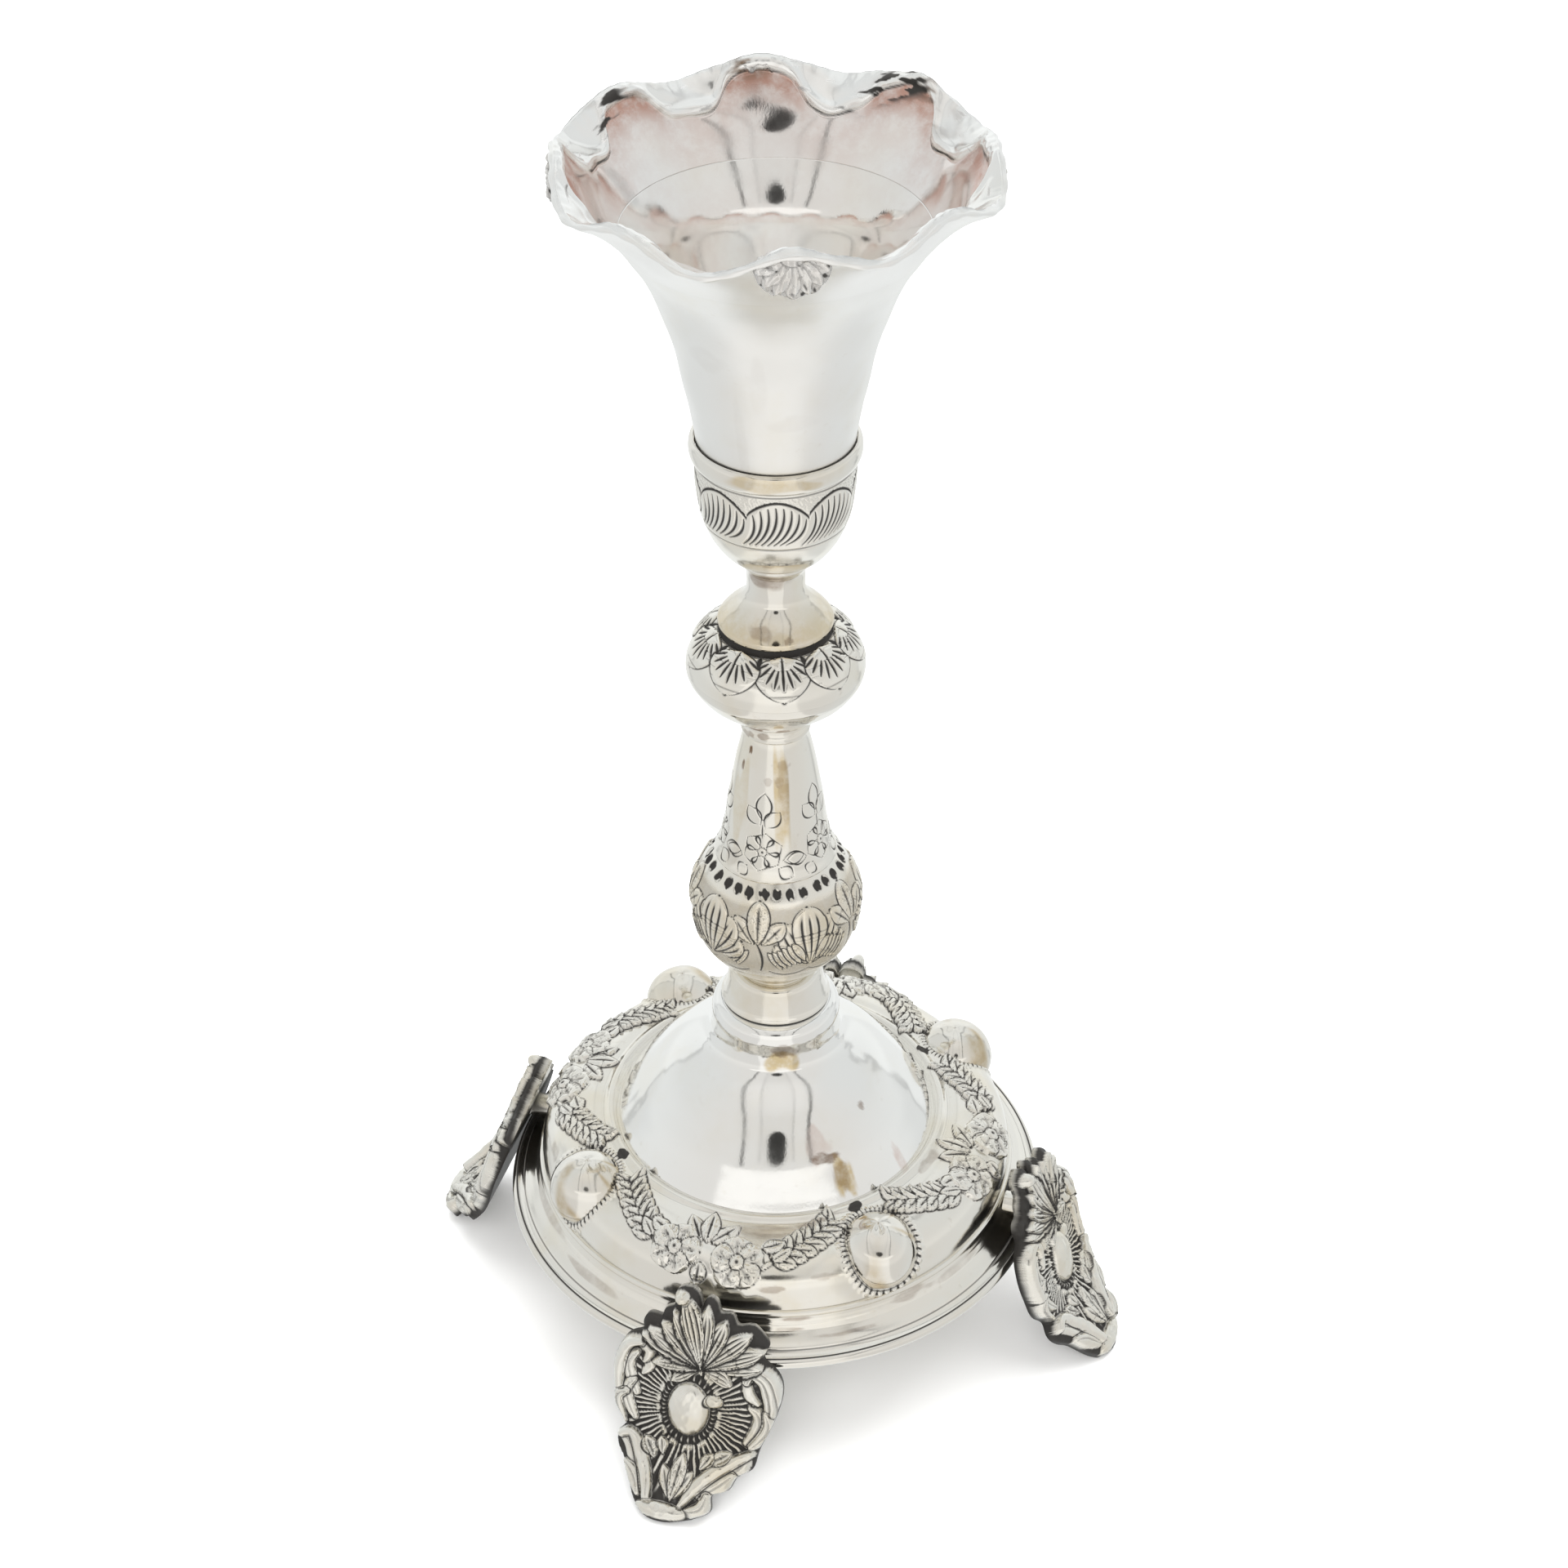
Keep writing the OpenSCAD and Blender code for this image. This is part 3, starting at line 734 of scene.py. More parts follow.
def cup():
    """Eight gadrooned lobes between two engraved lines."""
    piece = Turned(CUP, 0.2, 640)
    relief = piece.relief
    line_top, line_low = piece.at_height(0, 211.3)[1], piece.at_height(0, 199.2)[1]
    relief.ring(line_top, 0.22, 0.16, 0.75)
    relief.ring(line_low, 0.25, 0.18, 0.7)
    pitch, first = 45, -93.5
    share = ((relief.across - first) % pitch) / pitch
    arch = arch_height(share)
    height = np.interp(relief.down, piece.down, piece.curve[:, 1])[:, None]
    above = height - arch
    slope = 1 + 0.5 * np.abs(np.cos(math.pi * share))
    in_frieze = ((height < 211) & (above > 0)).astype(float)
    matte = wander(relief.across, relief.down[:, None] * 6, 160, 41)
    relief.height -= in_frieze * (0.12 + 0.05 * matte)
    relief.patina_and_shade = np.maximum(relief.patina_and_shade, in_frieze * (0.2 + 0.12 * np.clip(matte, -1, 1)))
    relief.height -= 0.24 * bump(above / slope, 0.3)
    relief.patina_and_shade = np.maximum(relief.patina_and_shade, 0.95 * bump(above / slope, 0.3))
    for k in range(8):
        for j in range(8):
            part = (j + 0.75) / 8.2
            azimuth = first + (k + part) * pitch
            top = arch_height(part) - 1.0
            start = piece.at_height(azimuth, top)
            length = math.hypot(3.4, top - 200.6)
            turn = 180 + math.degrees(math.atan2(3.4, top - 200.6)) * (0.55 + 0.5 * part)
            relief.cut(start, turn, length, 0.36, 0.28, bend=-1.1, dark=0.95)
    piece.warp(0.015, 6, 42)
    return piece.build("cup_gadrooned", "stand", ["candle_cup"], "chased_silver", CHASED, CUP_BACK)


NECK = [
    [6.8, 189.8], [7, 189.2], [6.7, 188.5], [6, 187.6], [5.7, 185.5], [5.65, 183.6], [5.95, 181.8],
    [7, 180.1], [9.1, 178.2], [10.8, 176.3], [11.3, 175.2], [11.1, 174.7], [10.5, 174.5]
]


def neck():
    piece = Turned(NECK, 0.25, 256)
    piece.warp(0.03, 5, 51)
    piece.stains([
        (-92, 177.6, 3, 1.6, 0.4, 177), (-70, 187.5, 3, 2, 0.3, 187), (-60, 176.5, 1, 0.7, 0.5, 176),
        (-92, 187.2, 4.5, 2.2, 0.6, 5)
    ])
    piece.relief.gilt += 0.6 * bump(piece.curve[:, 1:] - 176.5, 3)
    return piece.build("neck_turned", "stand", ["neck"], "polished_silver", TURNED,
                       [[BORE_R, 174.5], [BORE_R, 189.8]])


KNOP_TOP = [
    [10.3, 174.5], [10.6, 173.7], [11.7, 173.2], [14.1, 171.7], [15.8, 169.8], [16.9, 167.8], [17.5, 166],
    [17.6, 165]
]
KNOP_LEAVES = 9


def knop_top():
    """Broad pointed leaves hanging from under the cap, each with a rib and radiating cuts."""
    piece = Turned(KNOP_TOP, 0.17, 640)
    relief = piece.relief
    top = piece.at_height(0, 173.6)[1]
    relief.patina_and_shade += 0.9 * ease(top + 1.3, top + 0.3, relief.down)[:, None]
    relief.height -= 0.25 * ease(top + 1.2, top + 0.4, relief.down)[:, None]
    for k in range(KNOP_LEAVES):
        azimuth = -67.5 + k * 360 / KNOP_LEAVES
        place = azimuth, top + 0.6
        relief.lay(place, 180, 12, leaf(8.9, 10.8, 0.5, 0.9, ribs=0, point=0.6), 1.0, 0.55)
        relief.cut((azimuth, top + 0.9), 180, 4.6, 0.32, 0.28, dark=1.0)
        for j in range(9):
            swing = 180 + (j - 4) * 15
            side, fall = 3.0 * math.sin(math.radians(swing)), -3.0 * math.cos(math.radians(swing))
            radius = float(np.interp(top + 0.6 + fall, piece.down, piece.curve[:, 0]))
            start = azimuth + math.degrees(side / radius), top + 0.6 + fall
            relief.cut(start, swing, 3.6 - 0.25 * abs(j - 4), 0.38, 0.28, dark=1.0)
        relief.cut((azimuth + 20, top + 0.8), 180, 2.2, 0.8, 0.3, dark=1.0)
    piece.warp(0.02, 6, 61)
    back = behind(KNOP_TOP, WALL, top=BORE_R)
    return piece.build("knop_leaf_band", "stand", ["leaf_knop_top"], "chased_silver", CHASED, back)


KNOP_BOTTOM = [
    [17.6, 165], [17.35, 163.3], [16.6, 161.8], [15.1, 159.7], [12.8, 157.6], [10.8, 156.1], [8.6, 155.5]
]
COLLAR = [
    [8.6, 155.5], [8.95, 154.9], [8.9, 154.2], [8.3, 153.8], [7, 153.3], [6.3, 152.3], [6.45, 151.4],
    [6.9, 150.6], [6.9, 149.9], [6.4, 149.3]
]


def knop_bottom():
    piece = Turned(KNOP_BOTTOM, 0.3, 256)
    piece.warp(0.03, 5, 62)
    return piece.build("knop_underside", "stand", ["leaf_knop_bottom"], "polished_silver", TURNED,
                       behind(KNOP_BOTTOM, WALL, bottom=BORE_R))


def collar():
    piece = Turned(COLLAR, 0.2, 256)
    piece.stains([
        (-100, 154.4, 1.6, 0.6, 0.9, 100), (-62, 154.3, 1.6, 0.6, 0.7, 138),
        (-95, 151.2, 1.6, 0.6, 0.6, 105), (-125, 150.6, 1.6, 0.6, 0.5, 75)
    ])
    piece.relief.ring(piece.at_height(0, 153.2)[1], 0.25, 0.1, 0.6)
    return piece.build("collar_turned", "stand", ["knop_collar"], "polished_silver", TURNED,
                       [[BORE_R, 149.3], [BORE_R, 155.5]])


# ---- Stem and bulb ----

STEM = [
    [6.2, 149.3], [6.5, 148.6], [6.95, 147], [7.8, 143.2], [8.85, 137.2], [9.85, 131], [10.4, 126.9],
    [11.1, 123.6], [11.7, 121.4], [12.3, 120.2], [12.45, 119.6], [12.2, 119.1]
]
SPRIGS = 5


def outline_petal(relief, place, turn, length, width, line=0.25, depth=0.18):
    """An engraved petal outline: two bowed cuts that meet at both ends."""
    for side in (-1, 1):
        relief.cut(place, turn, length, line, depth, bend=side * width / 2)


def stem():
    """Plain taper with five engraved sprigs above the bulb."""
    piece = Turned(STEM, 0.2, 480)
    relief = piece.relief
    for k in range(SPRIGS):
        azimuth = -87.7 + k * 360 / SPRIGS
        for petal in range(6):
            turn = petal * 60 + 8
            hub = piece.at_height(azimuth, 125.8)
            start = (hub[0] + math.degrees(0.9 * math.sin(math.radians(turn)) / 10.6),
                     hub[1] - 0.9 * math.cos(math.radians(turn)))
            outline_petal(relief, start, turn, 3.3, 3.7, 0.3, 0.22)
        relief.lay(piece.at_height(azimuth, 125.8), 0, 3, oval(0.85, 0.85, 0.2, 0.15), 0.9, 0.22)
        for gap, height, turn, length in [(-1, 132.9, 2, 6), (-4, 131.8, -38, 4.6), (2, 131.4, 40, 4.6)]:
            outline_petal(relief, piece.at_height(azimuth + gap, height), turn, length, 3.2)
        low_leaves = [
            (23, 124.2, 84, 4.4), (-23, 124, -86, 4.2), (18, 122.4, 122, 3.4), (-16, 122.2, -140, 2.6)
        ]
        for gap, height, turn, length in low_leaves:
            outline_petal(relief, piece.at_height(azimuth + gap, height), turn, length, 2.8)
        relief.cut(piece.at_height(azimuth - 1, 132), 180, 3.2, 0.18, 0.1)
    piece.stains([
        (-62, 139, 1.2, 7, 0.3, 417), (-64, 145, 1.6, 1.2, 0.35, 435), (-84, 141.5, 1, 1, 0.3, 424),
        (-118, 147.2, 0.5, 0.9, 1.0, 441), (-128, 143.4, 0.35, 1.3, 0.9, 430),
        (-68, 141.5, 1.2, 1.3, 0.4, 424), (-122, 122.5, 2.5, 2.5, 0.2, 367), (-63, 118.9, 2, 0.7, 0.6, 356)
    ])
    piece.stains([(-66, 137, 1.6, 11, 0.8, 17), (-122, 136, 2.5, 9, 0.35, 18)], "gilt")
    piece.warp(0.025, 5, 71)
    return piece.build("stem_engraved", "stand", ["stem"], "chased_silver", CHASED,
                       behind(STEM, WALL, top=BORE_R))


BULB = [
    [11.9, 119.1], [12.6, 118.3], [13.8, 116.9], [15.3, 114.5], [16.4, 112], [17.1, 109.8], [17.35, 107.6],
    [17.2, 104.5], [16.4, 100.5], [15.4, 98], [14, 96], [12, 93.5], [9.9, 91.4], [7.6, 90.1], [5.2, 89.9]
]
BULB_SEAM = 107.6


def bulb():
    """Punched dots, then five leaf sprigs and five fluted shells; one pattern crosses both halves."""
    piece = Turned(BULB, 0.2, 600)
    relief = piece.relief
    dots = 30
    rng = np.random.default_rng(81)
    for k in range(dots):
        azimuth = -96 + k * 360 / dots + rng.uniform(-2, 2)
        height = 117.35 + rng.uniform(-0.15, 0.15)
        relief.lay(piece.at_height(azimuth, height), 0, 2, oval(0.9, 1.15, -0.4), 0.6, 0.25)
        relief.blot(piece.at_height(azimuth, height), (1.0, 1.25), "patina_and_shade", 1.0, k)
    ground = ease(116.2, 114.5, piece.curve[:, 1]) * ease(96, 99, piece.curve[:, 1])
    relief.patina_and_shade = np.maximum(relief.patina_and_shade, 0.44 * ground[:, None])
    relief.gilt += 0.35 * ground[:, None]
    for k in range(SPRIGS):
        azimuth = -85 + k * 360 / SPRIGS
        shell(relief, piece, azimuth + 36)
        for side in (-1, 1):
            for j in range(6):
                start = piece.at_height(azimuth + side * (7 + 3.2 * j), 105.4 + 0.5 * j)
                blade = leaf(5.6, 1.5, 0.4, 0.9, ribs=0, bow=side * 0.8)
                relief.lay(start, 180 - side * 36, 7, blade, 1.0, 0.4)
        for gap, turn, length, width in [(-3, -40, 6.6, 3.6), (3, 42, 6.4, 3.4), (0, -1, 9.2, 4.4)]:
            blade = leaf(length, width, 0.55, 1.3, point=0.6)
            relief.lay(piece.at_height(azimuth + gap, BULB_SEAM), turn, 11, blade)
        relief.cut(piece.at_height(azimuth - 1, 107.4), 176, 8, 0.4, 0.26, bend=-0.8)
        relief.cut(piece.at_height(azimuth + 36, 99.6), 90, 8, 0.32, 0.22, bend=1.6)
        relief.cut(piece.at_height(azimuth + 36, 99.6), -90, 8, 0.32, 0.22, bend=-1.6)
    piece.warp(0.02, 6, 82)
    seam = int(np.abs(piece.curve[:, 1] - BULB_SEAM).argmin())
    halves = [
        ("bulb_upper_half", "bulb_top", slice(0, seam + 1), dict(top=BORE_R)),
        ("bulb_lower_half", "bulb_bottom", slice(seam, None), dict(bottom=BORE_R)),
    ]
    for name, node, rows, ends in halves:
        part = Turned.__new__(Turned)
        part.curve, part.down, part.azimuth = piece.curve[rows], piece.down[rows], piece.azimuth
        part.relief = Relief(part.down, part.azimuth, relief.span[rows], 360.0)
        for layer in ("height",) + LAYERS:
            setattr(part.relief, layer, getattr(relief, layer)[rows])
        coarse = part.curve[:: len(part.curve) // 8].tolist() + [part.curve[-1].tolist()]
        part.build(name, "stand", [node], "chased_silver", CHASED, behind(coarse, WALL, **ends))


def shell(relief, piece, azimuth):
    """A scalloped shell with flutes that run in to its foot."""
    foot = piece.at_height(azimuth, 101.6)
    flutes = [(-52, 9.4, 5.4), (52, 9.4, 5.4), (-26, 11.6, 6.2), (26, 11.6, 6.2), (0, 13.4, 7.2)]
    for gap, length, width in flutes:
        relief.lay(foot, gap, 18, leaf(length, width, 0.6, 1.7, ribs=3, dark=0.95, point=0.5))


BEAD = [[6.6, 89.9], [7.1, 89.3], [6.9, 88.7]]
SPOOL = [
    [7.5, 88.7], [9.1, 88.3], [9.75, 87.2], [10.1, 85.5], [10.55, 83.6], [11.1, 82.1], [11.4, 81.5],
    [11.2, 81.1], [10.6, 80.6]
]


def spool():
    bead = Turned(BEAD, 0.3, 128)
    bead.build("bulb_bead_ring", "stand", ["bulb_bead"], "polished_silver", TURNED,
               [[BORE_R, 88.7], [BORE_R, 89.9]])
    piece = Turned(SPOOL, 0.25, 256)
    piece.warp(0.02, 5, 91)
    piece.relief.patina_and_shade[-3:] = 0.8
    return piece.build("base_spool_turned", "stand", ["base_spool"], "polished_silver", TURNED,
                       behind(SPOOL, WALL, top=BORE_R))


# ---- Base ----

DOME = [
    [10.6, 80.6], [12, 80.2], [13, 79.2], [13.45, 77.8], [13.45, 76.2], [13.4, 74.2], [13.7, 72.2],
    [14.5, 70.6], [15.8, 69.3], [17.8, 67.9], [20, 66.4], [22.4, 64.5], [24.6, 62.3], [26.8, 59.7],
    [29, 56.9], [31, 54], [32.8, 51.4], [34.3, 49.2]
]
SHOULDER = [
    [34.4, 49.2], [35, 49.9], [35.9, 50], [36.7, 49.4], [38.5, 49.1], [41, 48.7], [44, 47.9], [46.8, 46.6],
    [48.9, 44.6], [50.1, 42.2], [50.6, 39.8], [50.7, 37.4]
]
SKIRT = [
    [51.3, 37.4], [51.4, 36.7], [51, 36], [51.3, 35], [52, 33.8], [53, 32.6], [54.2, 31.6], [55, 31],
    [55.3, 30.4], [56.5, 29.8]
]
BOSS_R, BOSS_AT, BOSS_Z = 8.2, 44.9, 44.0


def dome():
    piece = Turned(DOME, 0.4, 384)
    relief = piece.relief
    relief.patina_and_shade[:3] = 0.7
    below_neck = piece.curve[40:]

    def on_dome(azimuth, radius):
        return piece.at_height(azimuth, float(np.interp(radius, below_neck[:, 0], below_neck[:, 1])))

    piece.stains([
        (-46.5, 31, 1.8, 3.6, 0.45, 217), (-52, 28.4, 3.4, 1.2, 0.85, 198), (-25, 24, 0.8, 0.9, 0.65, 168)
    ], find=on_dome)
    piece.stains([(-46, 31.5, 2.6, 4.4, 1.0, 220)], "gilt", on_dome)
    piece.stains([(-54, 26.5, 3, 3.5, 0.3, 185), (-20, 33, 1, 3.5, 0.4, 231)], "blush", on_dome)
    piece.stains([(-66, 75.5, 3, 1.5, 0.5, 9)])
    piece.stains([(-68, 73, 4, 2.5, 0.9, 10)], "gilt")
    piece.warp(0.05, 4, 101)
    return piece.build("base_dome_spun", "stand", ["base_dome"], "polished_silver", POLISHED,
                       behind(DOME, WALL, top=BORE_R))


def swag(relief, piece, foot, side):
    """A garland of paired leaves from the flowers over a foot to the next boss."""
    path = spline([[15.5, 46.2], [20, 44.6], [25, 42.6], [30, 40.6], [34.5, 38.6]], 0.02)
    count = 7
    for k in range(count):
        gap, radius = path[int((count - 1 - k + 0.3) / count * (len(path) - 1))]
        here = piece.at_radius(foot + side * gap, radius)
        heading = 58 * side
        relief.lay(here, heading + 180, 7, leaf(3.6, 0.9, 0.7, 0.9, ribs=0), 1.0, 0.35)
        for lean in (-38, 38):
            blade = leaf(4.9, 2.6, 1.2, 0.85, dark=0.9, bow=0.5 * np.sign(lean))
            relief.lay(here, heading + lean, 7, blade, 1.0, 0.5)
    relief.lay(here, heading, 6, leaf(4.4, 2.3, 1.2, 0.85, dark=0.9), 1.0, 0.5)


def shoulder():
    """Flowers over each foot, garlands between, and a ticked ring round each boss."""
    piece = Turned(SHOULDER, 0.3, 1008)
    relief = piece.relief
    for foot in FEET:
        for side in (-1, 1):
            swag(relief, piece, foot, side)
        for gap, turn, length in [(-4, -38, 6.4), (4, 42, 6.6), (0, -4, 7.4)]:
            blade = leaf(length, 3.6, 0.95, 0.9, dark=0.9)
            relief.lay(piece.at_radius(foot - 2 + gap * 0.4, 43.6), turn, 9, blade)
        for gap, radius, turn in [(-13, 44, -75), (13.5, 43.4, 75), (-2, 47.6, 180)]:
            relief.lay(piece.at_radius(foot + gap, radius), turn, 7, leaf(4.6, 3.2, 0.9, 0.9, dark=0.9))
        flower(relief, piece.at_radius(foot - 9.5, 46.3), 5.3, 1.15, turn=14)
        flower(relief, piece.at_radius(foot + 7.2, 46.6), 5.5, 1.25, turn=-8)
    height, radius = piece.curve[:, 1:], piece.curve[:, :1]
    for boss in BOSSES:
        gap = np.radians(relief.across - boss)
        reach = np.sqrt(radius**2 + BOSS_AT**2 - 2 * radius * BOSS_AT * np.cos(gap) + (height - BOSS_Z) ** 2)
        centre = piece.at_radius(0, BOSS_AT)[1]
        around = np.arctan2((relief.down - centre)[:, None], radius * np.sin(gap))
        band = bump(reach - BOSS_R - 0.65, 0.6)
        ticks = 0.5 + 0.5 * np.cos(around * 46)
        near = (np.cos(gap) > 0).astype(float)
        relief.height += near * band * (0.5 * ticks)
        dark = 0.95 * ease(0.5, 0.1, ticks) * bump(reach - BOSS_R - 0.6, 0.5)
        dark = dark + 0.7 * bump(reach - BOSS_R, 0.22)
        relief.patina_and_shade = np.maximum(relief.patina_and_shade, near * dark)
        relief.blot(piece.at_radius(boss - 1, 36.4), (1.6, 1.4), "patina_and_shade", 0.95, 7)
    relief.ring(piece.at_radius(0, 34.9)[1], 0.3, 0.15, 0.35)
    piece.stains([
        (-76, 39.5, 7, 1.6, 0.3, 197), (-61, 48.8, 3, 0.7, 0.3, 244), (-74, 49.8, 3, 0.8, 0.45, 249),
        (-62, 38, 3, 1.2, 0.5, 190), (-150, 48.5, 3, 1.2, 0.3, 242), (-128, 47.8, 2.2, 1.8, 0.4, 239),
        (-12, 37.3, 4, 1.2, 0.4, 186)
    ], find=piece.at_radius)
    piece.warp(0.025, 9, 111)
    back = [
        [49.7, 37.4], [49.7, 39.8], [49.1, 42], [47.9, 44], [46, 45.7], [43.6, 46.9], [41, 47.7],
        [36, 48.4], [34, 48.2], [32.6, 48.2], [32.6, 49.2]
    ]
    return piece.build("base_shoulder_chased", "stand", ["base_shoulder"], "chased_silver", CHASED, back)


def skirt():
    piece = Turned(SKIRT, 0.2, 512)
    relief = piece.relief
    engraved = [(36.1, 0.12, 0.35), (34.6, 0.06, 0.15), (33.4, 0.06, 0.12), (30.7, 0.1, 0.75)]
    for height, depth, dark in engraved:
        relief.ring(piece.at_height(0, height)[1], 0.25, depth, dark)
    piece.stains([
        (-68, 35.6, 4, 0.5, 0.5, 68), (-70, 33.6, 3, 0.5, 0.45, 70), (-40, 35, 6, 1.2, 0.35, 40),
        (-140, 34, 12, 1, 0.3, 140), (-120, 32.5, 8, 1, 0.35, 120), (-55, 32.2, 7, 0.5, 0.4, 55),
        (-25, 34.5, 6, 1, 0.25, 25)
    ])
    piece.warp(0.03, 12, 121)
    back = [[54, 29.8], [53, 31], [51.6, 32.4], [50.6, 33.8], [50, 35], [49.6, 36], [49.6, 37.4]]
    piece.build("base_skirt_spun", "stand", ["base_skirt"], "polished_silver", CHASED, back)
    ring = [[56.5 + 1.2 * math.sin(a), 28.6 + 1.2 * math.cos(a)] for a in np.linspace(0, math.pi, 13)]
    wire = Turned(ring, 0.3, 512)
    wire.relief.patina_and_shade[:3] = 0.8
    inner = [[56.5 - 1.2 * math.sin(a), 28.6 - 1.2 * math.cos(a)] for a in np.linspace(0, math.pi, 9)[1:-1]]
    wire.build("rim_wire_round", "stand", ["rim_wire"], "polished_silver", TURNED, inner)


def bosses():
    """Half balls, slightly dented, which end inside the wall of the shoulder."""
    rows, cols = 72, 144
    polar = np.linspace(0.01, math.radians(118), rows)[:, None]
    around = np.arange(cols) * 360 / cols
    for k, boss in enumerate(BOSSES, 1):
        r = BOSS_R + 0.07 * wander(around, polar * 20, 4, 130 + k)
        angle = np.radians(around)
        flat = r * np.sin(polar)
        ball = np.stack([flat * np.cos(angle), flat * np.sin(angle), r * np.cos(polar)], -1)
        core = np.repeat(np.array([[[0.05, 0, -3.0]], [[0.05, 0, 8.0]]]), cols, 1)
        core[..., 0], core[..., 1] = 0.05 * np.cos(angle), 0.05 * np.sin(angle)
        core[1, :, 2] = r[0] - 0.4
        points = np.vstack([ball, core])
        points = points.reshape(-1, 3) + np.array([BOSS_AT, 0, BOSS_Z])
        reach = np.hypot(points[:, 0], points[:, 1])
        sunk = np.interp(reach, [r for r, _ in SHOULDER], [z for _, z in SHOULDER]) - WALL / 2
        points[:, 2] = np.maximum(points[:, 2], sunk)
        stain = 0.55 * bump(wander(around, polar * 14, 3, 140 + k) - 1.3, 0.35) * ease(0.2, 0.7, polar)
        stain = np.vstack([stain, np.zeros((2, cols))]).ravel()
        layers = {"stain": 0.5 * stain, "gilt": 1.4 * stain}
        make(f"boss_ball_{k}", "stand", [f"boss_{k}"], TURNED,
             turn_about_axis(points, boss), wrap_quads(rows + 2, cols), layers)


# ---- Feet ----

FOOT_PATH = [
    [54.9, 44.4], [57, 38], [58.6, 33], [60.1, 28.4], [61.8, 22.8], [63.5, 17.6], [66.2, 12.6], [69.8, 8.6],
    [73.4, 4.8], [76.2, 2], [78.4, 0.6]
]
FOOT_OUTLINE = [
    [-1.6, -1.2], [-3.7, -0.6], [-4.6, 1.6], [-4.6, 3.6], [-6.4, 4.8], [-7, 6.6], [-9.3, 6.6],
    [-10.8, 8.6], [-10.8, 10.6], [-13, 12], [-15.2, 15], [-16, 19], [-15.5, 24.3], [-14.2, 29.5],
    [-12.4, 32.6], [-13.7, 34.4], [-13.2, 37.6], [-11.4, 40], [-10.2, 42.6], [-9.2, 45], [-7.6, 47.8],
    [-5, 50.2], [-1, 50.9], [3, 49.9], [6, 48.4], [8.6, 46.2], [8.2, 43.6], [11.2, 41.8], [12.6, 38.8],
    [15.4, 36.4], [16, 33.4], [17.6, 28.6], [19.4, 22], [19.6, 17], [17.2, 13.4], [15, 11.4], [15.9, 8.6],
    [14.6, 6.4], [11.8, 4.6], [9, 5.2], [7.6, 3], [5.4, 3.2], [4.2, 0.8], [2.2, 0.4], [1.4, 2.6],
    [0.8, 0.8]
]
FAN = (3.0, 15.6)
FAN_LEAVES = [
    # across, down of each tip, then the leaf's width
    [-3.6, 17.2, 3.4], [-7.4, 14.4, 3.6], [15.2, 11.6, 4.2], [9.8, 16, 3.8], [-10, 9.4, 4.2],
    [15.4, 8.2, 4.0], [-8.6, 8, 3.8], [12, 5.2, 4.2], [-5.8, 6.2, 4.0], [6.8, 3.6, 4.0], [-3.6, 3.4, 3.8],
    [3, 1.2, 3.6], [-1.6, -0.6, 4.6]
]


